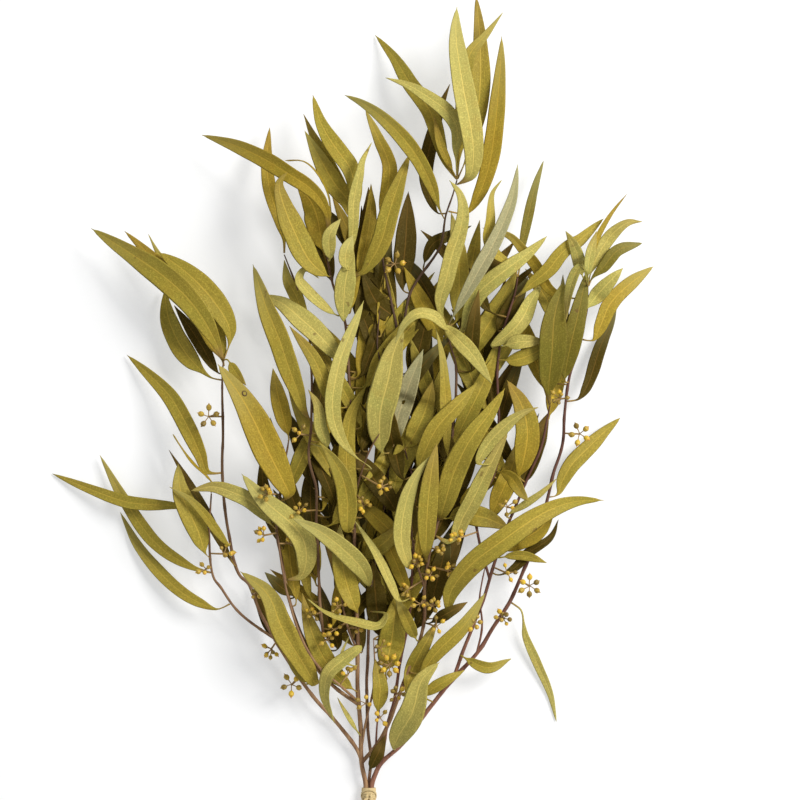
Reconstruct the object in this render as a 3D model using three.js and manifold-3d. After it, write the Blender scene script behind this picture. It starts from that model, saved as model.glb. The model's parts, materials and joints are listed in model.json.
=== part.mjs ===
// Bunch of seeded willow eucalyptus lying on a table: three leafy stems held by a raffia tie.
// Millimetres. X runs across the bunch to the right, Y from the cut ends to the leaf tips, Z up.
// Routes are measured from the table under the middle of the tie. The finished group is moved so
// that its origin is the middle of the underside of its bounding box.
import * as THREE from 'three';
import Module from 'manifold-3d';

const wasm = await Module();
wasm.setup();

// ---- driving dimensions -------------------------------------------------------------------------
const LEAF_THICKNESS = 0.9; // thickest place of a blade, at its midrib
const LEAF_KEEL = 0.1; // how far the edges stand above the midrib, per half width
const LEAF_TIP_WIDTH = 0.8; // width left at the pointed tip
const LEAF_RINGS = 11; // cross sections along one leaf
const STALK_WIDTH = 1.4; // bare petiole
const STALK_LENGTH = 8; // bare petiole, unless a leaf says otherwise
const JOINT_GAP = 0.3; // between a twig and what grows on it
const STEM_SIDES = 6; // flats around a stem or twig
const STEM_STEP = 14; // length of one straight piece of a stem
const BUD_LENGTH = 6.2;
const BUD_RADIUS = 2.1;
const PEDICEL_LENGTH = 4.5; // stalk of one bud
const PEDICEL_RADIUS = 0.45;
const PEDUNCLE_RADIUS = 0.65; // stalk of a whole umbel
const TIE_LENGTH = 13; // along the stems
const TIE_INNER = [4.9, 3.95]; // half width and half height of the bundle inside the tie
const TIE_OUTER = [6, 5]; // half width and half height over the tie
const TIE_CENTRE_X = 1.35;
const SETTLE_STATIONS = 22; // places along a leaf that are kept apart from other pieces
const SETTLE_PASSES = 260;
const SETTLE_REACH = 5.6; // pieces nearer than this in plan must pass over each other
const SETTLE_GAP = 3.2; // least height between two middle surfaces that cross
const FLOOR_GAP = 0.5; // lowest middle surface above the table

const COLOURS = {
  stem_left: 0x7a5533,
  stem_right: 0x86452c,
  stem_middle: 0x6d4a2c,
  leaf: 0x7f7c35,
  leaf_light: 0x9a9a52,
  leaf_gold: 0x94802f,
  leaf_dark: 0x4f4a22,
  bud: 0xb08d2c,
  raffia: 0xd9c692,
};

// ---- stems --------------------------------------------------------------------------------------
// Each stem is one body: the first route is its trunk, the rest grow from it. The two radii are at
// the start and the end of a route.
const STEMS = {
  stem_left: [
    {
      radii: [1.9, 0.9],
      route: [[-5, -62, 5], [-2, -20, 5.8], [-0.9, -8, 6.1], [-0.8, 8, 6.2], [-3.8, 24, 7.4],
        [-4.8, 51, 9.5], [-6.8, 80, 12.5], [-6.8, 108, 15], [-9, 176, 20], [-9.8, 221, 23], [-11, 274, 26],
        [-13, 311, 28], [-16.5, 356, 31], [-25.5, 384, 34], [-29, 404, 36], [-29, 422, 38]],
    },
    { radii: [1.1, 0.8], route: [[-16.5, 356, 31], [-14, 379, 34], [-11, 401, 37], [-9, 426, 40]] },
    {
      radii: [1.5, 0.9],
      route: [[-3.8, 25, 7.5], [9, 41, 11.5], [16.5, 55.5, 13.5], [25.5, 80, 15.5], [32, 98, 17],
        [39, 115, 18], [43, 134, 19], [43, 156, 21], [47, 184, 23], [55, 214, 25], [61, 251, 27],
        [66, 296, 29], [66, 323, 30], [63, 334, 31], [59, 349, 32]],
    },
    {
      radii: [1.5, 0.9],
      route: [[-3.8, 26, 7.5], [-7.5, 35, 7.8], [-22.5, 55, 9], [-39, 73, 11], [-64, 110, 13],
        [-79.5, 137, 14.5], [-88, 159, 16], [-95, 166, 17], [-103.5, 199, 20], [-107, 235, 24],
        [-107, 277, 28], [-107, 311, 32], [-106, 326, 34]],
    },
    {
      radii: [1.4, 0.9],
      route: [[-6.8, 69, 11.5], [-23, 81, 14], [-34, 92, 16], [-43, 108, 18], [-57, 145, 21],
        [-63, 176, 23], [-67, 199, 25], [-63, 236, 28], [-58, 266, 30]],
    },
    {
      radii: [1.1, 0.8],
      route: [[-43, 108, 18], [-50, 107.5, 19.5], [-64, 116, 21], [-73, 121.5, 21.5], [-97, 140, 22],
        [-109, 157, 23], [-114, 164, 24], [-117, 199, 27], [-115.5, 227, 30]],
    },
    {
      radii: [1.2, 0.8],
      route: [[-34, 92, 16], [-32, 107, 18], [-35, 148, 21], [-36, 176, 23], [-37.5, 203, 25],
        [-37.5, 230, 27], [-43, 254, 29], [-41, 281, 31], [-42, 338, 35], [-50, 375, 36],
        [-61, 404, 37]],
    },
  ],
  stem_right: [
    {
      radii: [1.9, 0.9],
      route: [[9, -58, 5.2], [4.4, -20, 5.8], [3.5, -8, 6.1], [3.6, 8, 6.2], [6.6, 17, 6.8],
        [11, 25, 7.6], [26, 39, 9.5], [45, 64, 12], [64.5, 88, 14], [82, 107, 15], [95, 128, 17],
        [105, 143, 18], [118, 172, 20], [128, 200, 22], [135, 225, 24], [139.5, 244, 25],
        [145.5, 263, 26], [147.5, 292, 28], [151, 315, 30], [158, 337, 32], [163.5, 364, 34],
        [164, 380, 36]],
    },
    {
      radii: [1.3, 0.8],
      route: [[11, 25, 7.6], [12.5, 36, 5.8], [15, 52, 6], [20, 70, 8], [25, 101, 11], [31, 131, 14],
        [34, 169, 17], [34.5, 235, 22], [28.5, 259, 24]],
    },
    {
      radii: [1.4, 0.9],
      route: [[64.5, 88, 14], [74, 115, 17], [86, 145, 20], [94.5, 173, 22], [103.5, 199, 24],
        [116, 230, 26], [130, 263, 28], [136, 292, 30]],
    },
    {
      radii: [1.1, 0.8],
      route: [[91.5, 163, 21.3], [84, 190, 24], [81, 216, 26], [87, 227, 27], [95, 242, 28],
        [98, 285, 31], [97, 320, 33], [102, 350, 34], [110, 375, 34], [112, 387, 34]],
    },
  ],
  stem_middle: [
    {
      radii: [1.3, 0.9],
      route: [[2, -64, 1.6], [1.4, -8, 3], [1.4, 8, 3.1], [3, 28, 3.3], [0.5, 51, 4.5],
        [0, 85, 8.5], [0.8, 104, 10.5], [2.3, 146, 14], [13.5, 221, 18], [21, 281, 22],
        [26, 334, 26], [31, 372, 30], [39, 387, 31], [54.5, 410, 33], [58.5, 433, 36],
        [64, 448, 38], [67, 459, 40]],
    },
    { radii: [1, 0.8], route: [[26, 334, 26], [18, 370, 30], [12, 400, 33], [10, 420, 35]] },
  ],
};

// ---- leaves -------------------------------------------------------------------------------------
// A leaf is written as: colour, greatest width, roll to its right in degrees, route of its midrib
// from where it leaves the twig to its tip, and the length of bare stalk if it isn't the usual one.
const LEAVES = {
  leaf_left: [
    ['leaf', 19, -14, [[-107.5, 328.5, 37], [-111.2, 338.6, 42], [-118.8, 353.1, 46],
      [-131.5, 370.8, 47], [-152.4, 389.6, 43], [-174.6, 404.7, 36], [-205, 423.9, 26]]],
    ['leaf_gold', 12, 8, [[-111.5, 329.6, 33], [-126.4, 361.3, 32], [-145.2, 387.1, 31],
      [-162.3, 405, 27], [-180.6, 422.2, 20]]],
    ['leaf', 18, 10, [[-101, 342, 34], [-102.5, 352, 36], [-110, 365, 38], [-122.2, 380, 37],
      [-136.3, 393, 32], [-154.6, 406.1, 24]], 14],
    ['leaf', 16, -8, [[-111.7, 310.9, 29], [-119.7, 315.8, 26], [-133, 328.8, 19],
      [-143.3, 344.8, 13], [-149.5, 361.8, 8], [-151.3, 378.9, 4]], 16],
    ['leaf_gold', 22.5, 12, [[-57, 221, 31], [-73, 259, 42], [-91, 296, 47], [-110, 323, 45]]],
    ['leaf_dark', 13.5, -10, [[-116.6, 240.6, 30], [-124.5, 258.4, 29], [-132.6, 275.2, 26],
      [-146, 298, 18], [-159.3, 311.9, 11], [-179.8, 330, 3]]],
    ['leaf', 9.8, 6, [[-126, 213, 26], [-139, 217, 24], [-155, 218, 21], [-178, 220, 15],
      [-211, 231, 6], [-236, 241, 0.6]], 18],
    ['leaf', 16.5, 10, [[-118, 178, 28], [-125, 199, 34], [-138, 229, 34], [-140, 249, 30]]],
    ['leaf', 10.5, -8, [[-121, 168, 22], [-155, 187, 14], [-181, 221, 8], [-200, 255, 5]]],
    ['leaf', 9.8, 6, [[-106, 140, 20], [-125, 145, 15], [-144, 157, 10], [-170, 185, 4],
      [-185, 212, 0.7]], 12],
    ['leaf_light', 12, -6, [[-69, 201, 29], [-76, 211, 34], [-87, 222, 38], [-97, 227, 40],
      [-113, 232, 41], [-130, 229, 42]]],
    ['leaf_light', 18, 8, [[-48.9, 165.1, 26], [-44.7, 178.3, 33], [-47.1, 193.4, 39],
      [-55.9, 205.3, 42], [-66.7, 214.2, 43], [-79.5, 226, 42], [-92.5, 241.7, 38]]],
  ],
  leaf_middle: [
    ['leaf', 16.5, -12, [[-44.2, 281.2, 35], [-49, 297, 39], [-57.9, 321.6, 41], [-64.9, 342.4, 38],
      [-74, 364.3, 31], [-84.8, 397.3, 20]]],
    ['leaf_light', 16.5, 12, [[-16.5, 321.7, 33], [-26.4, 334.5, 37], [-37.2, 346.3, 39],
      [-50.1, 357.7, 37], [-63.1, 368.2, 32], [-78.1, 374.3, 25]]],
    ['leaf_light', 12.8, 10, [[4, 246, 36], [-9, 255, 42], [-19, 268, 45], [-25, 287, 49],
      [-24, 303, 51], [-19, 327, 48], [-10, 350, 42], [-2, 370, 36]], 38],
    ['leaf_light', 22.5, -8, [[12, 256, 28], [10, 285, 40], [16, 311, 44], [21, 334, 42],
      [28, 349, 39]], 12],
    ['leaf', 13.5, 6, [[-14, 198, 27], [-13, 225, 33], [-15, 254, 33], [-11, 287, 32],
      [0, 307, 30]]],
  ],
  leaf_upper_left: [
    ['leaf_gold', 13.5, -16, [[-28.2, 426.2, 42], [-30.1, 437.7, 48], [-38.9, 450.3, 52],
      [-54.5, 461, 54], [-75.4, 474.1, 48], [-98.4, 485.1, 38], [-122.7, 493.3, 26]]],
    ['leaf_gold', 10.5, 8, [[-60.9, 413.5, 37], [-66.9, 436.3, 35], [-72, 452.4, 31],
      [-74.3, 473.7, 22], [-72.6, 499.7, 12]]],
    ['leaf', 13.5, 10, [[-8, 437, 42], [-11, 465, 47], [-24, 484, 44], [-34, 502, 36],
      [-40, 523, 28]]],
    ['leaf', 12, -14, [[55.6, 430.2, 40], [52.1, 443.7, 46], [41.7, 467.7, 56], [30.9, 484.2, 60],
      [14.2, 501.9, 58], [-1.6, 514.3, 50], [-16.4, 521.8, 42]], 12],
    ['leaf_gold', 11, 6, [[12, 436, 37], [17, 469, 41], [10, 487, 38], [-1, 512, 28]]],
    ['leaf', 15, -10, [[-6, 388, 39], [10, 411, 49], [17, 435, 53], [25, 459, 52], [32, 478, 46]]],
    ['leaf_light', 15, 6, [[-17, 354, 37], [-16, 380, 45], [-10, 408, 48]]],
  ],
  leaf_top: [
    ['leaf_dark', 12.8, -10, [[60, 469, 41], [55, 484, 42], [47, 510, 37], [32, 532, 26],
      [21, 551, 14], [6, 570, 0.7]]],
    ['leaf', 18, 12, [[71.3, 454.6, 44], [76.2, 461.3, 48], [79, 476.7, 54], [76.5, 498, 59],
      [72.1, 521.6, 58], [68.2, 545.5, 53], [65.9, 566.8, 46], [67, 587.8, 38]]],
    ['leaf_gold', 14, 6, [[71.9, 469.8, 38], [76.4, 484.8, 34], [81.4, 504.7, 33], [84.6, 533.4, 33],
      [84.4, 556.3, 31], [83.4, 574.4, 28], [81.3, 597.7, 23]], 20],
    ['leaf_gold', 13.5, -8, [[69.5, 432.4, 34], [77.4, 438.4, 34], [85.3, 453.1, 36],
      [90.7, 469.8, 38], [94.6, 493.3, 40], [97.6, 523.1, 38], [99.5, 547.2, 33],
      [100.3, 566.5, 28]], 14],
    ['leaf_light', 12.8, 8, [[54, 366, 38], [58, 382, 45], [64, 406, 51], [70, 425, 55],
      [70, 445, 57], [61, 458, 56]]],
    ['leaf_light', 11.3, -8, [[65, 360, 44], [83, 392, 52], [97, 418, 50], [108, 446, 44],
      [112, 471, 35]], 16],
    ['leaf', 7.5, 8, [[114, 397, 31], [116, 413, 29], [119, 428, 27], [125, 454, 21],
      [132, 475, 12]], 14],
  ],
  leaf_right: [
    ['leaf_light', 13.5, -10, [[69, 345, 34], [82, 374, 41], [101, 391, 44], [120, 405, 38],
      [134, 418, 30]]],
    ['leaf_light', 12.8, 8, [[92, 335, 36], [106, 346, 42], [115, 356, 43], [122, 370, 38],
      [130, 382, 31]]],
    ['leaf_light', 21, 10, [[135, 304, 34], [137, 331, 45], [139, 360, 49], [146, 384, 46]]],
    ['leaf', 9.8, -8, [[168, 388, 37], [175, 394, 37], [186, 407, 33], [205, 413, 24]]],
    ['leaf_gold', 12.8, 6, [[166, 339, 34], [172, 348, 34], [181, 368, 31], [195, 382, 25],
      [214, 396, 14]]],
    ['leaf_dark', 9.8, -8, [[156, 296, 25], [163, 304, 20], [167, 313, 16], [175, 337, 9],
      [183, 354, 4], [187, 367, 0.7]]],
    ['leaf_gold', 11.3, 8, [[112, 372, 38], [119, 380, 41], [134, 392, 45], [146, 407, 46],
      [157, 414, 43], [167, 423, 37], [176, 431, 30]]],
  ],
  leaf_lower_right: [
    ['leaf', 12.8, -8, [[140, 222, 25], [145, 234, 23], [152, 247, 20], [168, 263, 12],
      [175, 270, 8], [190, 283, 0.7]]],
    ['leaf_light', 17.5, 12, [[56.8, 131.2, 22], [59.6, 146.6, 32], [67.4, 163, 44], [79, 176.6, 52],
      [93.7, 188.1, 57], [108.4, 198.9, 58], [125.2, 210.1, 54], [144.1, 218.7, 46],
      [160.3, 221.9, 37], [176.5, 221.8, 30]], 20],
    ['leaf_gold', 18, 8, [[113, 238, 31], [116, 250, 36], [119, 273, 40], [115, 292, 38],
      [104, 311, 35]]],
    ['leaf', 18, -10, [[54, 206, 31], [58, 220, 44], [65, 244, 54], [77, 268, 60], [91, 287, 58],
      [102, 305, 54]]],
    ['leaf_light', 13.5, 6, [[62.7, 190.9, 26], [70.5, 206.9, 30], [79.4, 223.4, 35],
      [85.7, 236.8, 38], [92.6, 250.6, 41], [104.9, 273.3, 40]]],
    ['leaf', 15, 8, [[44, 176, 28], [44, 184, 33], [45, 215, 46], [48, 244, 50], [52, 265, 47]]],
    ['leaf', 14.3, -6, [[37, 244, 29], [42, 256, 36], [53, 277, 42], [67, 292, 42], [82, 309, 37]]],
  ],
  leaf_low: [
    ['leaf', 12, 8, [[38, 92, 21], [53, 110, 30], [73, 130, 33], [88, 153, 31]]],
    ['leaf_light', 18.8, -10, [[20, 36, 18], [23, 45, 26], [34, 65, 38], [41, 89, 40],
      [54, 102, 38]]],
    ['leaf', 18, 10, [[-36, 84, 23], [-49, 104, 34], [-63, 128, 38], [-73, 152, 36],
      [-94, 169, 30]]],
    ['leaf_light', 15, -10, [[2, 158, 24], [-2, 169, 34], [-15, 184, 43], [-34, 199, 48],
      [-55, 209, 50]]],
    ['leaf_light', 6.8, 6, [[112, 142, 16], [116, 138, 13], [118, 122, 8], [128, 98, 4],
      [137, 77, 2], [142, 55, 0.7]], 18],
  ],
};

// ---- buds ---------------------------------------------------------------------------------------
// Each spray is one body: a stalk from the twig to the middle of an umbel, and its buds around it.
const BUD_SPRAYS = [
  { name: 'buds_far_left', count: 5, turn: 0.3, route: [[-111, 280, 31], [-117, 284, 33]] },
  { name: 'buds_low_left', count: 5, turn: 0.9, route: [[-51, 86, 14], [-56, 84, 17]] },
  { name: 'buds_low_middle', count: 7, turn: 0.2, route: [[21, 99, 15], [17, 99, 21]] },
  { name: 'buds_low_right', count: 6, turn: 0.5, route: [[116, 158, 22], [121, 158, 25]] },
  { name: 'buds_right', count: 5, turn: 0.7, route: [[153, 272, 29], [158, 271, 31]] },
  { name: 'buds_upper', count: 5, turn: 0.1, route: [[16, 399, 36], [21, 397, 38]] },
];

// ---- shared helpers -----------------------------------------------------------------------------
const point = (p) => new THREE.Vector3(p[0], p[1], p[2]);

// Two directions square to a tangent: up, and across to its right.
function squareTo(tangent) {
  const across = new THREE.Vector3(tangent.y, -tangent.x, 0);
  if (across.length() < 0.05) {
    across.set(1, 0, 0);
  }
  across.normalize();
  const up = new THREE.Vector3().crossVectors(across, tangent).normalize();
  return { up, across };
}

function smoothRoute(points) {
  return new THREE.CatmullRomCurve3(points, false, 'centripetal');
}

// A closed shell through rings that run counterclockwise around the direction of travel.
function loft(rings) {
  const sides = rings[0].length;
  const points = rings.flat();
  const last = points.length - sides;
  const faces = [];
  for (let start = 0; start < last; start += sides) {
    for (let i = 0; i < sides; i++) {
      const a = start + i;
      const b = start + ((i + 1) % sides);
      faces.push([a, b, b + sides], [a, b + sides, a + sides]);
    }
  }
  for (let i = 1; i + 1 < sides; i++) {
    faces.push([0, i + 1, i], [last, last + i, last + i + 1]);
  }
  return { points, faces };
}

function circle(centre, tangent, radius, sides) {
  const { up, across } = squareTo(tangent);
  const ring = [];
  for (let i = 0; i < sides; i++) {
    const angle = (2 * Math.PI * i) / sides;
    ring.push(
      centre
        .clone()
        .addScaledVector(up, radius * Math.cos(angle))
        .addScaledVector(across, radius * Math.sin(angle)),
    );
  }
  return ring;
}

function tube(curve, radii, steps, sides) {
  const rings = [];
  for (let i = 0; i <= steps; i++) {
    const u = i / steps;
    const radius = radii[0] + (radii[1] - radii[0]) * u;
    rings.push(circle(curve.getPointAt(u), curve.getTangentAt(u), radius, sides));
  }
  return loft(rings);
}

function toSolid(shell) {
  const mesh = new wasm.Mesh({
    numProp: 3,
    vertProperties: new Float32Array(shell.points.flatMap((p) => p.toArray())),
    triVerts: new Uint32Array(shell.faces.flat()),
  });
  return new wasm.Manifold(mesh);
}

function asShell(solid) {
  const mesh = solid.getMesh();
  const points = [];
  for (let i = 0; i < mesh.vertProperties.length; i += mesh.numProp) {
    points.push(new THREE.Vector3().fromArray(mesh.vertProperties, i));
  }
  const faces = [];
  for (let i = 0; i < mesh.triVerts.length; i += 3) {
    faces.push([mesh.triVerts[i], mesh.triVerts[i + 1], mesh.triVerts[i + 2]]);
  }
  return { points, faces };
}

function addPiece(group, name, colour, roughness, shell) {
  const geometry = new THREE.BufferGeometry();
  geometry.setAttribute(
    'position',
    new THREE.Float32BufferAttribute(shell.points.flatMap((p) => p.toArray()), 3),
  );
  geometry.setIndex(shell.faces.flat());
  geometry.computeVertexNormals();
  const material = new THREE.MeshStandardMaterial({ color: COLOURS[colour], roughness, metalness: 0 });
  const piece = new THREE.Mesh(geometry, material);
  piece.name = name;
  group.add(piece);
}

// ---- stems --------------------------------------------------------------------------------------
function stemTube(twig) {
  const curve = smoothRoute(twig.route.map(point));
  const steps = Math.max(3, Math.round(curve.getLength() / STEM_STEP));
  return tube(curve, twig.radii, steps, STEM_SIDES);
}

// Points with a radius along every twig, to hang leaves on and to keep leaves away from.
function twigSamples() {
  const samples = [];
  Object.values(STEMS).flat().forEach((twig, index) => {
    const curve = smoothRoute(twig.route.map(point));
    const steps = Math.round(curve.getLength() / 3);
    for (let i = 0; i <= steps; i++) {
      const u = i / steps;
      const radius = twig.radii[0] + (twig.radii[1] - twig.radii[0]) * u;
      samples.push({ centre: curve.getPointAt(u), radius, twig: index });
    }
  });
  return samples;
}

// The place on the nearest twig where a stalk that passes through a point starts.
function footOn(samples, first) {
  let best = samples[0];
  for (const sample of samples) {
    if (sample.centre.distanceTo(first) < best.centre.distanceTo(first)) {
      best = sample;
    }
  }
  const away = first.clone().sub(best.centre).normalize();
  return best.centre.clone().addScaledVector(away, best.radius + JOINT_GAP);
}

// ---- leaves -------------------------------------------------------------------------------------
function bladeHalfWidth(t, width) {
  const shape = Math.pow(t, 0.62) * Math.pow(1 - t, 0.85);
  const fullest = Math.pow(0.422, 0.62) * Math.pow(0.578, 0.85);
  return Math.max(LEAF_TIP_WIDTH / 2, (width / 2) * (shape / fullest));
}

function readLeaf([colour, width, roll, route, stalk = STALK_LENGTH], samples) {
  const points = route.map(point);
  points.unshift(footOn(samples, points[0]));
  const curve = smoothRoute(points);
  const bare = stalk / curve.getLength();
  return { colour, width, roll: THREE.MathUtils.degToRad(roll), curve, bare, lift: null };
}

// One cross section of a leaf: its middle, the direction across it and its half width.
function station(leaf, u) {
  const centre = leaf.curve.getPointAt(u);
  const tangent = leaf.curve.getTangentAt(u);
  const { up, across } = squareTo(tangent);
  const angle = leaf.roll * Math.min(1, u / (leaf.bare + 0.1));
  const side = across.multiplyScalar(Math.cos(angle)).addScaledVector(up, -Math.sin(angle));
  const top = new THREE.Vector3().crossVectors(side, tangent).normalize();
  let half = STALK_WIDTH / 2;
  if (u > leaf.bare) {
    const blade = bladeHalfWidth((u - leaf.bare) / (1 - leaf.bare), leaf.width);
    half = u < 0.5 ? Math.max(half, blade) : blade;
  }
  if (leaf.lift) {
    centre.z += liftAt(leaf, u);
  }
  return { centre, side, top, half };
}

function liftAt(leaf, u) {
  const place = u * (SETTLE_STATIONS - 1);
  const low = Math.min(SETTLE_STATIONS - 2, Math.floor(place));
  return leaf.lift[low] + (leaf.lift[low + 1] - leaf.lift[low]) * (place - low);
}

function leafShell(leaf) {
  const rings = [];
  for (let i = 0; i < LEAF_RINGS; i++) {
    const u = i / (LEAF_RINGS - 1);
    const { centre, side, top, half } = station(leaf, u);
    const thick = (LEAF_THICKNESS / 2) * (u > 0.9 ? 0.6 : 1);
    const edge = half > 2 ? half * LEAF_KEEL : 0;
    rings.push([
      centre.clone().addScaledVector(top, thick),
      centre.clone().addScaledVector(side, half).addScaledVector(top, edge),
      centre.clone().addScaledVector(top, -thick),
      centre.clone().addScaledVector(side, -half).addScaledVector(top, edge),
    ]);
  }
  return loft(rings);
}

// ---- keeping the leaves apart -------------------------------------------------------------------
// Where two leaves, or a leaf and a twig, cross in plan, the one that starts higher is lifted and
// the other is lowered until both have room. The foot of a leaf stays on its twig.
function spotsOf(leaf, owner) {
  const spots = [];
  for (let i = 0; i < SETTLE_STATIONS; i++) {
    const { centre, side, top, half } = station(leaf, i / (SETTLE_STATIONS - 1));
    const parts = half > 2 ? [-1, -0.5, 0, 0.5, 1] : [0];
    for (const part of parts) {
      const spot = centre.clone().addScaledVector(side, part * half);
      spot.addScaledVector(top, Math.abs(part) * half * LEAF_KEEL);
      spots.push({ at: spot, owner, index: i, fixed: false });
    }
  }
  return spots;
}

function cellKey(x, y) {
  return `${Math.floor(x / SETTLE_REACH)},${Math.floor(y / SETTLE_REACH)}`;
}

function closePairs(spots) {
  const cells = new Map();
  const pairs = [];
  for (const spot of spots) {
    for (let dx = -1; dx <= 1; dx++) {
      for (let dy = -1; dy <= 1; dy++) {
        const key = cellKey(spot.at.x + dx * SETTLE_REACH, spot.at.y + dy * SETTLE_REACH);
        for (const other of cells.get(key) ?? []) {
          const near = Math.hypot(spot.at.x - other.at.x, spot.at.y - other.at.y) < SETTLE_REACH;
          if (near && spot.owner !== other.owner && !(spot.fixed && other.fixed)) {
            pairs.push([spot, other]);
          }
        }
      }
    }
    const own = cellKey(spot.at.x, spot.at.y);
    cells.set(own, [...(cells.get(own) ?? []), spot]);
  }
  return pairs;
}

// Which of two pieces lies over the other, from their mean height difference where they cross.
function orderOf(pairs) {
  const sums = new Map();
  for (const [a, b] of pairs) {
    const key = `${a.owner}/${b.owner}`;
    sums.set(key, (sums.get(key) ?? 0) + a.at.z - b.at.z);
  }
  return (a, b) => (sums.get(`${a.owner}/${b.owner}`) >= 0 ? 1 : -1);
}

function looseness(leaf, index) {
  const u = index / (SETTLE_STATIONS - 1);
  return THREE.MathUtils.clamp((u - 0.05) / 0.18, 0, 1);
}

function settle(leaves, samples) {
  const spots = leaves.flatMap((leaf, k) => spotsOf(leaf, `leaf ${k}`));
  for (const sample of samples) {
    spots.push({ at: sample.centre.clone(), owner: `twig ${sample.twig}`, index: 0, fixed: true });
  }
  const pairs = closePairs(spots).filter(([a, b]) => {
    const rooted = (spot, other) => other.fixed && spot.index < 3;
    return !rooted(a, b) && !rooted(b, a);
  });
  const side = orderOf(pairs);
  const lifts = new Map(leaves.map((leaf, k) => [`leaf ${k}`, new Array(SETTLE_STATIONS).fill(0)]));
  const height = (spot) => spot.at.z + (spot.fixed ? 0 : lifts.get(spot.owner)[spot.index]);
  for (let pass = 0; pass < SETTLE_PASSES; pass++) {
    const pushes = new Map(
      leaves.map((leaf, k) => [`leaf ${k}`, Array.from({ length: SETTLE_STATIONS }, () => [0, 0])]),
    );
    const push = (spot, amount) => {
      if (!spot.fixed) {
        const range = pushes.get(spot.owner)[spot.index];
        range[0] = Math.min(range[0], amount);
        range[1] = Math.max(range[1], amount);
      }
    };
    for (const [a, b] of pairs) {
      const way = side(a, b);
      const short = SETTLE_GAP - way * (height(a) - height(b));
      if (short > 0) {
        const share = a.fixed || b.fixed ? 0.5 : 0.3;
        push(a, way * short * share);
        push(b, -way * short * share);
      }
    }
    for (const spot of spots) {
      if (!spot.fixed && height(spot) < FLOOR_GAP) {
        push(spot, FLOOR_GAP - height(spot));
      }
    }
    leaves.forEach((leaf, k) => {
      const lift = lifts.get(`leaf ${k}`);
      const ranges = pushes.get(`leaf ${k}`);
      ranges.forEach((range, i) => {
        lift[i] += (range[0] + range[1]) * looseness(leaf, i);
      });
      smoothLift(lift);
    });
  }
  leaves.forEach((leaf, k) => {
    leaf.lift = lifts.get(`leaf ${k}`);
  });
}

function smoothLift(lift) {
  const before = [...lift];
  for (let i = 1; i < lift.length; i++) {
    const next = before[Math.min(lift.length - 1, i + 1)];
    lift[i] = before[i] * 0.9 + (before[i - 1] + next) * 0.05;
  }
  lift[0] = 0;
}

// ---- buds ---------------------------------------------------------------------------------------
function budShell(foot, direction) {
  const profile = [[0, 0.5], [0.12, 0.8], [0.32, 1], [0.55, 0.92], [0.72, 0.55], [1, 0.12]];
  const rings = profile.map(([along, wide]) => {
    const centre = foot.clone().addScaledVector(direction, along * BUD_LENGTH);
    return circle(centre, direction, wide * BUD_RADIUS, STEM_SIDES);
  });
  return loft(rings);
}

function straightTube(from, to, radius) {
  return tube(new THREE.LineCurve3(from, to), [radius, radius], 1, STEM_SIDES - 1);
}

function budSpray(spray, samples) {
  const points = spray.route.map(point);
  points.unshift(footOn(samples, points[0]));
  const heart = points[points.length - 1];
  const shells = [tube(smoothRoute(points), [PEDUNCLE_RADIUS, PEDUNCLE_RADIUS], 5, STEM_SIDES - 1)];
  for (let i = 0; i < spray.count; i++) {
    const angle = spray.turn + (2 * Math.PI * i) / spray.count;
    const rise = i % 2 ? 0.25 : 0.6;
    const direction = new THREE.Vector3(Math.cos(angle), Math.sin(angle), rise).normalize();
    const start = heart.clone().addScaledVector(direction, -0.4);
    const foot = heart.clone().addScaledVector(direction, PEDICEL_LENGTH);
    shells.push(straightTube(start, foot.clone().addScaledVector(direction, 0.6), PEDICEL_RADIUS));
    shells.push(budShell(foot, direction));
  }
  return asShell(wasm.Manifold.union(shells.map(toSolid)));
}

// ---- raffia tie ---------------------------------------------------------------------------------
function ovalRing(y, halves, sides) {
  const ring = [];
  for (let i = 0; i < sides; i++) {
    const angle = (-2 * Math.PI * i) / sides;
    const x = TIE_CENTRE_X + halves[0] * Math.cos(angle);
    ring.push(new THREE.Vector3(x, y, TIE_OUTER[1] + halves[1] * Math.sin(angle)));
  }
  return ring;
}

function ovalRod(halves, length) {
  const ends = [-length / 2, length / 2];
  return loft(ends.map((y) => ovalRing(y, halves, 20)));
}

function raffiaTie() {
  const knot = new THREE.Vector3(TIE_CENTRE_X, 0, 2 * TIE_OUTER[1] + 0.6);
  const ends = [[-7.6, -17, 5], [10.3, -17, 5]].map((end) => {
    const half = point([(knot.x + end[0]) / 2, -8, 11]);
    return tube(smoothRoute([knot, half, point(end)]), [1.1, 0.8], 6, 5);
  });
  const lump = [[-2.6, 0.8], [-1.6, 2], [0, 2.4], [1.6, 2], [2.6, 0.8]].map(([along, radius]) => {
    const centre = knot.clone().add(point([along, 0, 0]));
    return circle(centre, point([1, 0, 0]), radius, 8);
  });
  const parts = [ovalRod(TIE_OUTER, TIE_LENGTH), loft(lump), ...ends].map(toSolid);
  const bundle = toSolid(ovalRod(TIE_INNER, TIE_LENGTH + 2));
  return asShell(wasm.Manifold.union(parts).subtract(bundle));
}

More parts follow.
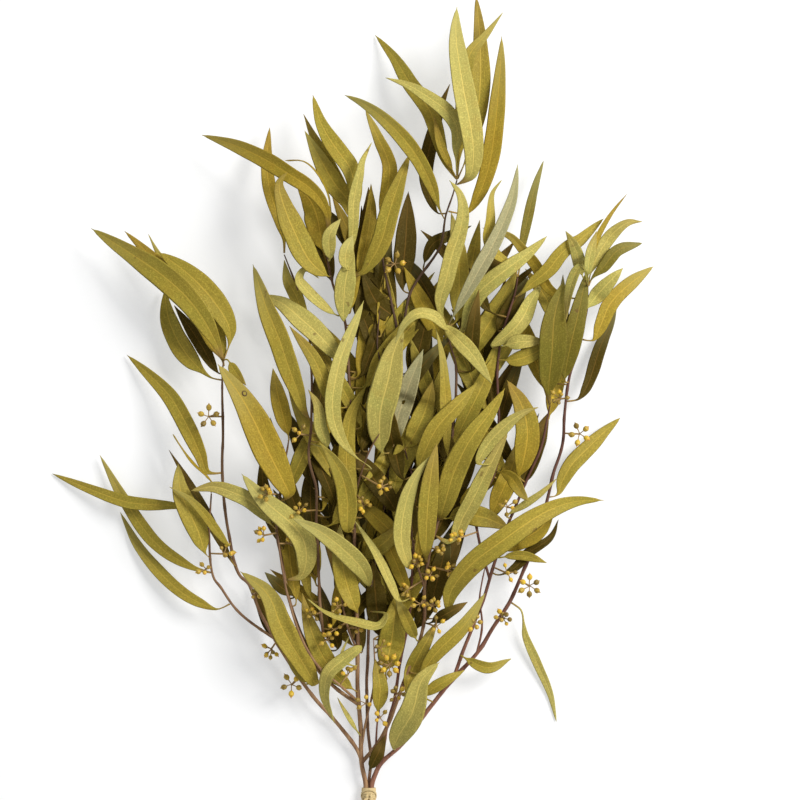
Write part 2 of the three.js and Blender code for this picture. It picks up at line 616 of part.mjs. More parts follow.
// ---- the whole bunch ----------------------------------------------------------------------------
function buildBunch() {
  const group = new THREE.Group();
  group.name = 'eucalyptus_branch';
  addPiece(group, 'raffia_tie', 'raffia', 0.9, raffiaTie());
  for (const [name, twigs] of Object.entries(STEMS)) {
    const solid = wasm.Manifold.union(twigs.map((twig) => toSolid(stemTube(twig))));
    addPiece(group, name, name, 0.7, asShell(solid));
  }
  const samples = twigSamples();
  for (const spray of BUD_SPRAYS) {
    addPiece(group, spray.name, 'bud', 0.6, budSpray(spray, samples));
  }
  const rows = Object.values(LEAVES).flat();
  const leaves = rows.map((row) => readLeaf(row, samples));
  settle(leaves, samples);
  let next = 0;
  for (const [region, list] of Object.entries(LEAVES)) {
    list.forEach((row, k) => {
      const leaf = leaves[next];
      addPiece(group, `${region}_${k + 1}`, leaf.colour, 0.75, leafShell(leaf));
      next += 1;
    });
  }
  return group;
}

// Puts the origin at the middle of the underside of the bounding box.
function standOnOrigin(group) {
  const box = new THREE.Box3().setFromObject(group);
  const middle = box.getCenter(new THREE.Vector3());
  for (const piece of group.children) {
    piece.geometry.translate(-middle.x, -middle.y, -box.min.z);
  }
  return group;
}

export default standOnOrigin(buildBunch());
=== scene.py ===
import json
import math
import random
from itertools import combinations

import bpy
import numpy as np
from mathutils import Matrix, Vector
from mathutils.kdtree import KDTree


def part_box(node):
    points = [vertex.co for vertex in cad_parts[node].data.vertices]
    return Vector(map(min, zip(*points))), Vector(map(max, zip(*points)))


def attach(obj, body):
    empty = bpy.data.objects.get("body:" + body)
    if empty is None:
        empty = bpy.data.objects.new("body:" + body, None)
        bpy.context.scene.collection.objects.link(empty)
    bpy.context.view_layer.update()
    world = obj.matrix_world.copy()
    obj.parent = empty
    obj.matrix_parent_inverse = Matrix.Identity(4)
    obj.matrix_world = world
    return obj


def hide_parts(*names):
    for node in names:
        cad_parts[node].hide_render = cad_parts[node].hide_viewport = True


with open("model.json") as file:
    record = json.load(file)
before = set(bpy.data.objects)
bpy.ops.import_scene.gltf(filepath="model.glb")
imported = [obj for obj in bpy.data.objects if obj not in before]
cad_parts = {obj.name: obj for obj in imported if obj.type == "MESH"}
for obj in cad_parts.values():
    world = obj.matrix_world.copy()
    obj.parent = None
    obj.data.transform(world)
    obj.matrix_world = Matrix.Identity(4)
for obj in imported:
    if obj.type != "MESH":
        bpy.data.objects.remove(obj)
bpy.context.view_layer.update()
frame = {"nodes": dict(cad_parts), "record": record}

# Lengths below are in millimetres, measured from the table under the middle of the raffia tie:
# x across the bunch, y towards the leaf tips, z up. TIE is that point in the row frame, in metres.
TIE_LOW, TIE_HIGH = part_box("raffia_tie")
TIE = Vector(((TIE_LOW.x + TIE_HIGH.x) / 2 - 0.00135, TIE_HIGH.y - 0.0065, 0))

STEMS = {
    "stem_left": [
        ((1.9, 0.9), [(-5, -62, 5), (-2, -20, 5.8), (-0.9, -8, 6.1), (-0.8, 8, 6.2), (-3.8, 24, 7.4),
                      (-4.8, 51, 9.5), (-6.8, 80, 12.5), (-6.8, 108, 15), (-9, 176, 20),
                      (-9.8, 221, 23), (-11, 274, 26), (-13, 311, 28), (-16.5, 356, 31),
                      (-25.5, 384, 34), (-29, 404, 36), (-29, 422, 38)]),
        ((1.1, 0.8), [(-16.5, 356, 31), (-14, 379, 34), (-11, 401, 37), (-9, 426, 40)]),
        ((1.5, 0.9), [(-3.8, 25, 7.5), (9, 41, 11.5), (16.5, 55.5, 13.5), (25.5, 80, 15.5),
                      (32, 98, 17), (39, 115, 18), (43, 134, 19), (43, 156, 21), (47, 184, 23),
                      (55, 214, 25), (61, 251, 27), (66, 296, 29), (66, 323, 30), (63, 334, 31),
                      (59, 349, 32)]),
        ((1.5, 0.9), [(-3.8, 26, 7.5), (-7.5, 35, 7.8), (-22.5, 55, 9), (-39, 73, 11),
                      (-64, 110, 13), (-79.5, 137, 14.5), (-88, 159, 16), (-95, 166, 17),
                      (-103.5, 199, 20), (-107, 235, 24), (-107, 277, 28), (-107, 311, 32),
                      (-106, 326, 34)]),
        ((1.4, 0.9), [(-6.8, 69, 11.5), (-23, 81, 14), (-34, 92, 16), (-43, 108, 18),
                      (-57, 145, 21), (-63, 176, 23), (-67, 199, 25), (-63, 236, 28),
                      (-58, 266, 30)]),
        ((1.1, 0.8), [(-43, 108, 18), (-50, 107.5, 19.5), (-64, 116, 21), (-73, 121.5, 21.5),
                      (-97, 140, 22), (-109, 157, 23), (-114, 164, 24), (-117, 199, 27),
                      (-115.5, 227, 30)]),
        ((1.2, 0.8), [(-34, 92, 16), (-32, 107, 18), (-35, 148, 21), (-36, 176, 23),
                      (-37.5, 203, 25), (-37.5, 230, 27), (-43, 254, 29), (-41, 281, 31),
                      (-42, 338, 35), (-50, 375, 36), (-61, 404, 37)]),
    ],
    "stem_right": [
        ((1.9, 0.9), [(9, -58, 5.2), (4.4, -20, 5.8), (3.5, -8, 6.1), (3.6, 8, 6.2), (6.6, 17, 6.8),
                      (11, 25, 7.6), (26, 39, 9.5), (45, 64, 12), (64.5, 88, 14), (82, 107, 15),
                      (95, 128, 17), (105, 143, 18), (118, 172, 20), (128, 200, 22),
                      (135, 225, 24), (139.5, 244, 25), (145.5, 263, 26), (147.5, 292, 28),
                      (151, 315, 30), (158, 337, 32), (163.5, 364, 34), (164, 380, 36)]),
        ((1.3, 0.8), [(11, 25, 7.6), (12.5, 36, 5.8), (15, 52, 6), (20, 70, 8), (25, 101, 11),
                      (31, 131, 14), (34, 169, 17), (34.5, 235, 22), (28.5, 259, 24)]),
        ((1.4, 0.9), [(64.5, 88, 14), (74, 115, 17), (86, 145, 20), (94.5, 173, 22),
                      (103.5, 199, 24), (116, 230, 26), (130, 263, 28), (136, 292, 30)]),
        ((1.1, 0.8), [(91.5, 163, 21.3), (84, 190, 24), (81, 216, 26), (87, 227, 27),
                      (95, 242, 28), (98, 285, 31), (97, 320, 33), (102, 350, 34),
                      (110, 375, 34), (112, 387, 34)]),
    ],
    "stem_middle": [
        ((1.3, 0.9), [(2, -64, 1.6), (1.4, -8, 3), (1.4, 8, 3.1), (3, 28, 3.3), (0.5, 51, 4.5),
                      (0, 85, 8.5), (0.8, 104, 10.5), (2.3, 146, 14), (13.5, 221, 18),
                      (21, 281, 22), (26, 334, 26), (31, 372, 30), (39, 387, 31),
                      (54.5, 410, 33), (58.5, 433, 36), (64, 448, 38), (67, 459, 40)]),
        ((1, 0.8), [(26, 334, 26), (18, 370, 30), (12, 400, 33), (10, 420, 35)]),
    ],
}

# Leaves between the ones that the frame holds: look, greatest width, height at the foot and at the
# tip, roll and twist in degrees, and the route of the midrib from the foot to the tip.
MORE_LEAVES = [
    ("olive", 8, 24, 18, 0, 0, [(-112, 335), (-135, 378), (-155, 405), (-163, 420)]),
    ("dark", 10.5, 22, 12, 10, 0, [(-111, 317), (-125, 340), (-144, 367)]),
    ("olive", 7.5, 38, 44, 0, 20, [(-103, 326), (-97, 317), (-89, 307)]),
    ("dark", 8, 20, 10, 10, 20, [(-98, 172), (-111, 195), (-121, 214), (-136, 240), (-148, 259)]),
    ("gold", 8, 30, 30, 75, 10, [(-115, 235), (-130, 250), (-144, 271)]),
    ("olive", 7, 34, 36, -10, 10, [(-103, 189), (-122, 214), (-130, 222), (-146, 232)]),
    ("olive", 10.5, 37, 26, -10, 0, [(-43, 345), (-52, 373), (-58, 384), (-61, 400)]),
    ("light", 9, 38, 48, 10, 30, [(-22, 359), (-43, 376), (-50, 386), (-45, 393), (-35, 386)]),
    ("gold", 12.8, 24, 20, 0, 0, [(-58, 268), (-66, 300), (-70, 320)]),
    ("olive", 12, 38, 46, 10, -10, [(-20, 291), (-27, 300), (-39, 327), (-57, 351)]),
    ("light", 9.8, 38, 46, 0, 10, [(-30, 262), (-34, 277), (-36, 292), (-43, 304)]),
    ("olive", 15, 42, 50, 0, -20, [(-14, 200), (-14, 222), (-18, 240), (-25, 253), (-35, 265)]),
    ("olive", 19, 44, 56, 10, 10, [(-29, 388), (-41, 398), (-52, 418), (-61, 440), (-64, 456),
                                   (-58, 464)]),
    ("gold", 8, 44, 48, 80, 0, [(-27, 430), (-28, 446), (-35, 461), (-46, 472), (-60, 473)]),
    ("gold", 19, 32, 38, -10, 0, [(-31, 404), (-39, 439), (-52, 457)]),
    ("olive", 9, 34, 24, 0, 10, [(-11, 438), (-28, 472), (-39, 491), (-47, 509)]),
    ("olive", 15, 38, 32, -12, 0, [(-10, 424), (-13, 442), (-24, 457), (-35, 476), (-46, 496)]),
    ("light", 9, 48, 54, 10, 10, [(-12, 405), (-10, 421), (-9, 445), (-5, 463), (-3, 472),
                                  (4, 486)]),
    ("dark", 16.5, 24, 14, 10, 0, [(27, 378), (29, 416), (31, 452)]),
    ("dark", 9, 22, 16, 0, 0, [(12, 412), (-4, 438)]),
    ("light", 10.5, 46, 50, -10, 0, [(-27, 400), (-27, 418), (-19, 430)]),
    ("light", 11, 46, 48, 12, 0, [(-15, 393), (-15, 405), (-10, 418)]),
    ("light", 11, 48, 50, -15, 30, [(66, 480), (67, 496), (60, 508), (46, 519), (31, 528),
                                    (14, 534)]),
    ("olive", 11.5, 36, 42, 10, 0, [(69, 480), (71, 515), (76, 551), (88, 566), (101, 583)]),
    ("gold", 6.8, 46, 36, 0, 30, [(64, 465), (55, 484), (50, 506)]),
    ("gold", 4.5, 44, 40, 40, 0, [(67, 470), (67, 499)]),
    ("dark", 11, 26, 16, 0, 0, [(52, 436), (44, 463), (55, 514), (62, 532)]),
    ("olive", 10.5, 36, 40, 20, 30, [(108, 396), (96, 404), (90, 414), (91, 428), (93, 449),
                                     (100, 459)]),
    ("gold", 9, 34, 30, -20, 0, [(150, 372), (136, 378), (125, 397), (115, 409), (106, 418),
                                 (86, 424)]),
    ("dark", 9, 28, 22, 0, 0, [(42, 394), (49, 412), (63, 419), (78, 426)]),
    ("light", 11, 38, 44, 0, 0, [(101, 336), (111, 339), (132, 340)]),
    ("light", 10, 42, 44, -20, 0, [(160, 388), (154, 408), (147, 421)]),
    ("light", 10, 46, 52, 30, 20, [(160, 394), (156, 393), (150, 378), (147, 355)]),
    ("deep", 15, 36, 40, 0, 0, [(147, 310), (150, 332), (157, 362), (164, 394)]),
    ("gold", 5, 42, 32, 20, 20, [(164, 392), (167, 405), (171.5, 418), (181, 434), (193, 449)]),
    ("light", 10, 34, 24, 0, 0, [(166, 390), (173, 406), (183, 420), (194, 428), (205, 429)]),
    ("light", 12, 38, 32, 10, 0, [(162, 362), (170, 373), (180, 384), (190, 394)]),
    ("light", 7.5, 48, 42, -10, 20, [(163, 389), (165, 404), (170, 421)]),
    ("olive", 8, 26, 18, 20, 0, [(98, 179), (115, 181), (134, 175)]),
    ("dark", 8, 24, 14, -20, 0, [(98, 166), (111, 172), (120, 182), (137, 194), (143, 207)]),
    ("gold", 10.5, 36, 40, 40, -30, [(98, 243), (107, 239), (115, 227), (120, 221)]),
    ("light", 10.5, 44, 46, 10, 0, [(83, 250), (90, 264), (102, 277), (114, 286), (127, 291)]),
    ("light", 13.5, 34, 54, 15, 0, [(32, 172), (26, 192), (29, 220), (37, 241), (48, 256)]),
    ("olive", 16.5, 24, 32, -10, 0, [(27, 258), (34, 268), (43, 287), (49, 311)]),
    ("olive", 9, 20, 12, 15, 0, [(70, 106), (77, 102), (91, 97), (108, 103)]),
    ("olive", 9, 22, 20, -15, 0, [(43, 76), (58, 87), (73, 95)]),
    ("light", 11.5, 36, 26, 15, 20, [(-5, 113), (-17, 104), (-28, 94), (-31, 77), (-24, 56)]),
    ("dark", 10.5, 10, 6, 0, 0, [(-69, 116), (-77, 140), (-84, 157)]),
    ("olive", 10.5, 24, 30, -10, 0, [(-43, 86), (-52, 98), (-60, 109)]),
    ("olive", 15, 18, 26, 10, 0, [(-8, 79), (-24, 92), (-36, 112), (-44, 134), (-48, 153)]),
    ("dark", 9, 28, 22, 0, 0, [(-54, 150), (-63, 157), (-76, 168)]),
    ("olive", 17, 26, 38, 10, 0, [(-7, 138), (-14, 157), (-19, 180), (-20, 204)]),
    ("light", 10.5, 30, 36, 35, 40, [(14, 137), (9, 129), (-10, 132), (-29, 138), (-44, 149)]),
    ("olive", 20, 12, 16, 0, 0, [(14, 92), (19, 120), (22, 152)]),
    ("olive", 12, 18, 22, 10, 0, [(8, 62), (10, 82), (6, 104)]),
    ("olive", 10.5, 28, 28, -20, 0, [(37, 118), (29, 135), (21, 150)]),
    ("light", 4.5, 20, 22, 40, 30, [(-9, 98), (-19, 104), (-13, 121)]),
    ("light", 4.5, 13, 12, 30, 20, [(-5, 46), (-14, 60), (-22, 74)]),
    ("olive", 14, 26, 20, 0, 0, [(-106, 322), (-110, 341), (-119, 364), (-131, 383), (-146, 397),
                                 (-158, 407)]),
    ("dark", 16, 12, 16, 0, 0, [(9, 118), (7, 145), (4, 178)]),
    ("dark", 13, 10, 14, 0, 0, [(-22, 110), (-30, 135), (-36, 160)]),
    ("light", 9, 44, 50, 10, 20, [(59, 348), (50, 358), (38, 360), (28, 352), (21, 338)]),
    ("light", 12, 42, 38, 0, 0, [(57, 352), (66, 343), (79, 329), (93, 308)]),
    ("olive", 8.5, 36, 42, 10, 0, [(60, 255), (59, 280), (58, 305), (56, 328), (51, 350)]),
    ("grey", 17, 26, 34, -10, 0, [(20, 262), (23, 282), (31, 306), (42, 334)]),
    ("olive", 17, 20, 30, -10, 10, [(18, 222), (24, 246), (36, 272), (49, 297), (55, 320)]),
    ("dark", 11, 30, 38, 0, 0, [(78, 318), (78, 338), (80, 358), (83, 378)]),
    ("olive", 12, 34, 38, 0, 0, [(98, 326), (110, 326), (124, 331), (137, 341)]),
    ("dark", 13, 24, 30, 0, 0, [(97, 348), (104, 360), (112, 373), (120, 388)]),
    ("dark", 15, 16, 12, 0, 0, [(-36, 185), (-41, 207), (-42, 232), (-38, 258)]),
    ("olive", 13, 22, 26, 10, 0, [(-9, 210), (0, 228), (12, 250), (22, 271)]),
    ("light", 8, 34, 30, 20, 20, [(24, 148), (17, 162), (6, 184), (-10, 208)]),
    ("olive", 14, 24, 28, -10, 0, [(-4, 178), (6, 185), (16, 193), (25, 205)]),
    ("olive", 16, 22, 24, 0, 0, [(58, 208), (73, 211), (90, 208), (107, 200)]),
    ("gold", 15, 18, 22, 0, 0, [(97, 184), (112, 191), (127, 199), (140, 214)]),
    ("light", 6, 30, 34, 20, 0, [(104, 210), (117, 219), (130, 228), (141, 238)]),
    ("dark", 12, 18, 24, 0, 0, [(-6, 345), (-4, 375), (-3, 408), (-4, 441)]),
    ("dark", 17, 14, 20, 0, 0, [(12, 328), (14, 366), (13, 405), (19, 440)]),
    ("dark", 15, 20, 26, 0, 10, [(26, 348), (20, 358), (8, 368), (-4, 392)]),
    ("dark", 9, 12, 14, 0, 0, [(2, 20), (8, 32), (14, 46)]),
    ("olive", 12, 16, 22, 0, 0, [(27, 76), (35, 98), (45, 118), (53, 132)]),
    ("dark", 9, 24, 24, 0, 0, [(46, 130), (58, 137), (75, 146)]),
    ("olive", 14, 24, 30, 0, 0, [(62, 258), (74, 283), (88, 312), (99, 345)]),
    ("dark", 14, 14, 18, 0, 0, [(35, 205), (40, 235), (52, 262), (66, 292)]),
    ("dark", 14, 16, 20, 0, 0, [(66, 222), (75, 252), (80, 285), (86, 318)]),
    ("dark", 15, 14, 20, 0, 0, [(-20, 262), (-24, 290), (-33, 318), (-38, 345)]),
    ("dark", 14, 16, 22, 0, 0, [(2, 262), (4, 292), (8, 322), (4, 352)]),
    ("dark", 14, 18, 24, 0, 0, [(34, 300), (38, 328), (44, 356), (46, 386)]),
    ("olive", 13, 22, 28, 0, 0, [(70, 360), (76, 385), (80, 408), (84, 430)]),
    ("dark", 12, 10, 14, 0, 0, [(30, 128), (22, 152), (14, 178), (11, 204)]),
    ("dark", 13, 10, 14, 0, 0, [(44, 132), (52, 158), (63, 180), (72, 204)]),
    ("dark", 12, 10, 14, 0, 0, [(-10, 118), (-12, 140), (-20, 166), (-32, 190)]),
    ("dark", 12, 14, 18, 0, 0, [(-62, 186), (-70, 208), (-77, 232), (-78, 258)]),
]

# Umbels of buds: middle, number of buds and how far the whole umbel is turned.
FRAME_UMBELS = {
    "buds_far_left": ((-117, 284, 33), 5, 0.3),
    "buds_low_left": ((-56, 84, 17), 5, 0.9),
    "buds_low_middle": ((17, 99, 21), 7, 0.2),
    "buds_low_right": ((121, 158, 25), 6, 0.5),
    "buds_right": ((158, 271, 31), 5, 0.7),
    "buds_upper": ((21, 397, 38), 5, 0.1),
}
MORE_UMBELS = [
    (-82, 153, 26), (-71, 111, 22), (-29, 118, 30), (-14, 92, 24), (-39, 137, 32), (-21, 143, 34),
    (-7, 127, 30), (10, 112, 26), (-1, 70, 20), (10, 60, 24), (40, 145, 32), (47, 166, 36),
    (37, 176, 34), (55, 184, 40), (68, 194, 42), (104, 168, 34), (102, 134, 28), (80, 131, 28),
    (49, 144, 34), (52, 128, 30), (-2, 219, 42), (11, 232, 42), (-49, 271, 40), (-73, 227, 44),
    (-50, 214, 40), (-76, 196, 38), (143, 297, 40), (104, 217, 38), (-119, 171, 36), (23, 78, 26),
    (-106, 182, 30), (-24, 126, 34), (31, 156, 32), (60, 170, 38), (-60, 190, 36),
]

# The outline of the dense middle, which the low leaves stay inside.
THICKET = [(-60, 120), (-88, 200), (-70, 300), (-62, 400), (-40, 450), (20, 470), (60, 440),
           (110, 430), (155, 400), (160, 330), (125, 250), (100, 190), (60, 120), (0, 80)]

STATIONS = 22  # places along a leaf where its height is adjusted
ACROSS = np.array([-1, -0.5, 0, 0.5, 1])
REACH = 4.6  # pieces nearer than this in plan are moved apart in height
CLEAR = 1.9  # height aimed for between two leaves that cross
FINE = 52  # cross sections of a finished leaf
SHADE_COUNT = 135  # low leaves
SHADE_START, SHADE_END = 92, 440  # how far along the bunch the low leaves may start
SHADE_TOP = 34  # twigs higher than this grow no low leaves
BAND = 110  # free leaves of one look that start within a band this long share a mesh
COLUMNS = np.array([-1, -0.86, -0.6, -0.34, -0.14, -0.05, 0, 0.05, 0.14, 0.34, 0.6, 0.86, 1])
LOOKS = {
    "olive": ("leaf_olive", (0.360, 0.272, 0.032), (0.34, 0.31, 0.13)),
    "deep": ("leaf_olive", (0.175, 0.140, 0.012), (0.21, 0.18, 0.05)),
    "light": ("leaf_light", (0.460, 0.386, 0.090), (0.42, 0.39, 0.19)),
    "gold": ("leaf_gold", (0.360, 0.250, 0.021), (0.36, 0.29, 0.10)),
    # dark: a darker leaf colour, made near-black as painted shade for the leaves low in the bunch
    "dark": ("leaf_dark", (0.075, 0.050, 0.004), (0.13, 0.10, 0.02)),
    "grey": ("leaf_light", (0.370, 0.335, 0.165), (0.38, 0.36, 0.22)),
}


# ---- curves ------------------------------------------------------------------------------------
def even(points, count):
    """Points at equal distances along a polyline."""
    steps = np.linalg.norm(np.diff(points[:, :3], axis=0), axis=1)
    along = np.concatenate([[0], np.cumsum(steps)])
    places = np.linspace(0, along[-1], count)
    return np.stack([np.interp(places, along, points[:, k]) for k in range(points.shape[1])], 1)


def smooth(points, count):
    """Points at equal distances along one smooth curve through the given ones."""
    p = np.array(points, float)
    p = np.vstack([2 * p[0] - p[1], p, 2 * p[-1] - p[-2]])
    parts = []
    for a, b, c, d in zip(p, p[1:], p[2:], p[3:]):
        t1 = max(np.linalg.norm(b - a), 1e-6) ** 0.5
        t2 = t1 + max(np.linalg.norm(c - b), 1e-6) ** 0.5
        t3 = t2 + max(np.linalg.norm(d - c), 1e-6) ** 0.5
        t = np.linspace(t1, t2, 12, endpoint=False)[:, None]
        ab = (t1 - t) / t1 * a + t / t1 * b
        bc = (t2 - t) / (t2 - t1) * b + (t - t1) / (t2 - t1) * c
        cd = (t3 - t) / (t3 - t2) * c + (t - t2) / (t3 - t2) * d
        abc = (t2 - t) / t2 * ab + t / t2 * bc
        bcd = (t3 - t) / (t3 - t1) * bc + (t - t1) / (t3 - t1) * cd
        parts.append((t2 - t) / (t2 - t1) * abc + (t - t1) / (t2 - t1) * bcd)
    return even(np.vstack(parts + [p[-2][None]]), count)


def unit(v):
    return v / np.maximum(np.linalg.norm(v, axis=-1, keepdims=True), 1e-9)


def directions(spine):
    """Along, across to the right, and up at every point of a curve."""
    along = unit(np.gradient(spine, axis=0))
    across = unit(np.stack([along[:, 1], -along[:, 0], np.zeros(len(along))], 1))
    return along, across, unit(np.cross(across, along))


def waves(u, rnd, size, count=3):
    """A gentle random curve along 0 to 1."""
    total = np.zeros_like(u)
    for k in range(1, count + 1):
        total += rnd.uniform(-1, 1) / k * np.sin(2 * np.pi * (k * u * 1.2 + rnd.random()))
    return size * total


# ---- meshes ------------------------------------------------------------------------------------
class Batch:
    """Vertices and faces of one piece, collected in millimetres and made in metres."""

    def __init__(self):
        self.points, self.faces, self.uvs, self.tones, self.slots = [], [], [], [], []
        self.count = 0

    def add(self, points, faces, uv=None, tone=None, slot=0):
        self.points.append(points)
        self.faces += [[i + self.count for i in face] for face in faces]
        self.slots += [slot] * len(faces)
        self.uvs.append(np.zeros((len(points), 2)) if uv is None else uv)
        self.tones.append(np.ones((len(points), 4)) * 0.5 if tone is None else tone)
        self.count += len(points)

    def make(self, name, materials, slot, stands_for=()):
        points = np.vstack(self.points) / 1000 + np.array(TIE)
        mesh = bpy.data.meshes.new(name)
        mesh.from_pydata(points.tolist(), [], self.faces)
        layer = mesh.uv_layers.new(name="along")
        corner = np.zeros(len(mesh.loops), np.int32)
        mesh.loops.foreach_get("vertex_index", corner)
        layer.data.foreach_set("uv", np.vstack(self.uvs)[corner].astype(np.float32).ravel())
        tone = mesh.attributes.new("tone", "FLOAT_COLOR", "POINT")
        tone.data.foreach_set("color", np.vstack(self.tones).astype(np.float32).ravel())
        mesh.polygons.foreach_set("use_smooth", [True] * len(mesh.polygons))
        mesh.polygons.foreach_set("material_index", self.slots)
        for material in materials:
            mesh.materials.append(material)
        mesh.update()
        piece = bpy.data.objects.new(name, mesh)
        bpy.context.scene.collection.objects.link(piece)
        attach(piece, "root")
        if stands_for:
            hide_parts(*stands_for)


def tube_rings(spine, radii, sides):
    _, across, up = directions(spine)
    angle = np.linspace(0, 2 * np.pi, sides, endpoint=False)
    ring = np.cos(angle)[None, :, None] * up[:, None] + np.sin(angle)[None, :, None] * across[:, None]
    return spine[:, None] + ring * np.asarray(radii)[:, None, None]


def add_rings(batch, rings, tone, slot=0, cap_slot=None):
    """A closed skin through rings of points, with flat ends."""
    count, sides, _ = rings.shape
    faces = []
    for i in range(count - 1):
        for j in range(sides):
            a, b = i * sides + j, i * sides + (j + 1) % sides
            faces.append((a, b, b + sides, a + sides))
    uv = np.stack(np.meshgrid(np.linspace(0, 1, sides), np.linspace(0, 1, count)), -1)
    tones = np.tile(tone, (count * sides, 1))
    start = batch.count
    batch.add(rings.reshape(-1, 3), faces, uv.reshape(-1, 2), tones, slot)
    ends = [[start + j for j in reversed(range(sides))],
            [start + (count - 1) * sides + j for j in range(sides)]]
    batch.faces += ends
    batch.slots += [slot if cap_slot is None else cap_slot] * 2


# ---- twigs -------------------------------------------------------------------------------------
# thin twigs between the main stems, each grown from the stem named
THIN_TWIGS = {
    "stem_left": [
        ((1.0, 0.7), [(-6.6, 71, 12), (-20, 84, 24), (-38, 102, 38), (-52, 130, 43.5),
                      (-62, 170, 43), (-66, 198, 38)]),
        ((0.9, 0.5), [(-4.2, 34, 8), (-1, 55, 13), (4, 76, 16), (6, 98, 18), (5, 118, 19)]),
        ((0.9, 0.5), [(-6.8, 108, 15), (-15, 130, 21), (-19, 158, 25), (-17, 190, 29)]),
        ((0.9, 0.5), [(43, 156, 21), (36, 180, 27), (33, 205, 31), (36, 232, 34)]),
        ((0.8, 0.5), [(-9.8, 221, 23), (-3, 245, 30), (4, 262, 34), (12, 276, 36)]),
    ],
    "stem_right": [
        ((0.9, 0.5), [(8, 20, 7), (7, 42, 11), (9, 64, 14), (15, 88, 17)]),
        ((0.9, 0.5), [(82, 107, 15), (86, 128, 20), (84, 150, 24), (88, 172, 27)]),
    ],
    "stem_middle": [
        ((0.8, 0.5), [(21, 281, 22), (14, 310, 29), (8, 336, 34), (10, 362, 37)]),
    ],
}


def twig_samples():
    """Points every two millimetres on all twigs, with their radius and the twig's number."""
    samples = []
    whole = [r for name in STEMS for r in STEMS[name] + THIN_TWIGS[name]]
    for number, (radii, route) in enumerate(whole):
        length = np.linalg.norm(np.diff(np.array(route), axis=0), axis=1).sum()
        points = smooth(route, int(length / 2))
        for k, p in enumerate(points):
            radius = radii[0] + (radii[1] - radii[0]) * k / (len(points) - 1)
            samples.append((*p, radius, number))
    return np.array(samples)


TWIGS = twig_samples()


def nearest_twig(p, flat=False):
    gap = TWIGS[:, :3] - np.array(p)
    if flat:
        gap[:, 2] *= 0.3
    return TWIGS[np.argmin((gap ** 2).sum(1))]


# ---- leaves ------------------------------------------------------------------------------------
def blade(t):
    """Half width of a blade from 0 at its foot to 0 at its tip, 1 at its widest."""
    return t ** 0.62 * (1 - t) ** 0.98 / (0.3875 ** 0.62 * 0.6125 ** 0.98)


def rings_from(first, near):
    """The cross sections met one after another along the mesh, from the first one on."""
    rings = [sorted(first)]
    seen = set(rings[0])
    while True:
        after = set().union(*(near[i] for i in rings[-1])) - seen
        if not after:
            return rings
        seen |= after
        rings.append(sorted(after))


def rings_of(node):
    """The eleven cross sections of a leaf of the frame, four points each, foot to tip."""
    mesh = frame["nodes"][node].data
    raw = np.array([v.co for v in mesh.vertices]) * 1000 - np.array(TIE) * 1000
    keys, owner = {}, []
    for p in raw:
        owner.append(keys.setdefault(tuple(np.round(p, 2)), len(keys)))
    points = np.array(list(keys))
    near = {i: set() for i in range(len(points))}
    for edge in mesh.edges:
        a, b = owner[edge.vertices[0]], owner[edge.vertices[1]]
        near[a].add(b)
        near[b].add(a)
    gap = np.linalg.norm(points[:, None] - points[None], axis=2)
    a, b = np.unravel_index(gap.argmax(), gap.shape)
    reach = [np.linalg.norm(TWIGS[:, :3] - points[k], axis=1).min() for k in (a, b)]
    tip = b if reach[0] < reach[1] else a
    for foot in np.argsort(-gap[tip]):
        for others in combinations(np.argsort(gap[foot])[1:8], 3):
            rings = rings_from((foot, *others), near)
            if [len(r) for r in rings] == [4] * 11:
                return [points[r] for r in rings]
    raise ValueError("no cross sections found in " + node)


def frame_leaf(node, look):
    middles, rights = [], []
    rings = rings_of(node)
    centres = np.array([r.mean(0) for r in rings])
    _, across, _ = directions(centres)
    for ring, side in zip(rings, across):
        reach = (ring - ring.mean(0)) @ side
        right, left = ring[reach.argmax()], ring[reach.argmin()]
        others = [k for k in range(len(ring)) if k not in (reach.argmax(), reach.argmin())]
        middles.append(ring[others].mean(0))
        rights.append((right - left) / 2)
    rows = smooth(np.hstack([np.array(middles), np.array(rights)]), STATIONS)
    half = np.linalg.norm(rows[:, 3:], axis=1)
    return {"name": node, "look": look, "spine": rows[:, :3], "side": unit(rows[:, 3:]),
            "half": half, "fixed": True}


def free_leaf(row):
    look, width, low, high, roll, twist, route = row
    heights = np.linspace(low, high, len(route)) + 5 * np.sin(np.linspace(0, np.pi, len(route)))
    points = [(x, y, z) for (x, y), z in zip(route, heights)]
    twig = nearest_twig(points[0], flat=True)
    away = unit(np.array(points[0]) - twig[:3])
    points.insert(0, tuple(twig[:3] + away * twig[3] * 0.6))
    spine = smooth(points, STATIONS)
    u = np.linspace(0, 1, STATIONS)
    length = np.linalg.norm(np.diff(spine, axis=0), axis=1).sum()
    bare = min(0.3, (6 + np.linalg.norm(np.array(points[1]) - twig[:3]) * 0.5) / length)
    t = np.clip((u - bare) / (1 - bare), 0, 1)
    half = np.maximum(blade(t) * width / 2, np.where(u < 0.5, 0.6, 0.25))
    _, across, up = directions(spine)
    angle = np.radians((roll + twist * u) * np.clip(u / (bare + 0.1), 0, 1))[:, None]
    side = across * np.cos(angle) - up * np.sin(angle)
    return {"name": None, "look": look, "spine": spine, "side": side, "half": half,
            "fixed": False}


def inside(p, outline):
    hit = False
    for (x1, y1), (x2, y2) in zip(outline, outline[1:] + outline[:1]):
        if (y1 > p[1]) != (y2 > p[1]) and p[0] < (x2 - x1) * (p[1] - y1) / (y2 - y1) + x1:
            hit = not hit
    return hit


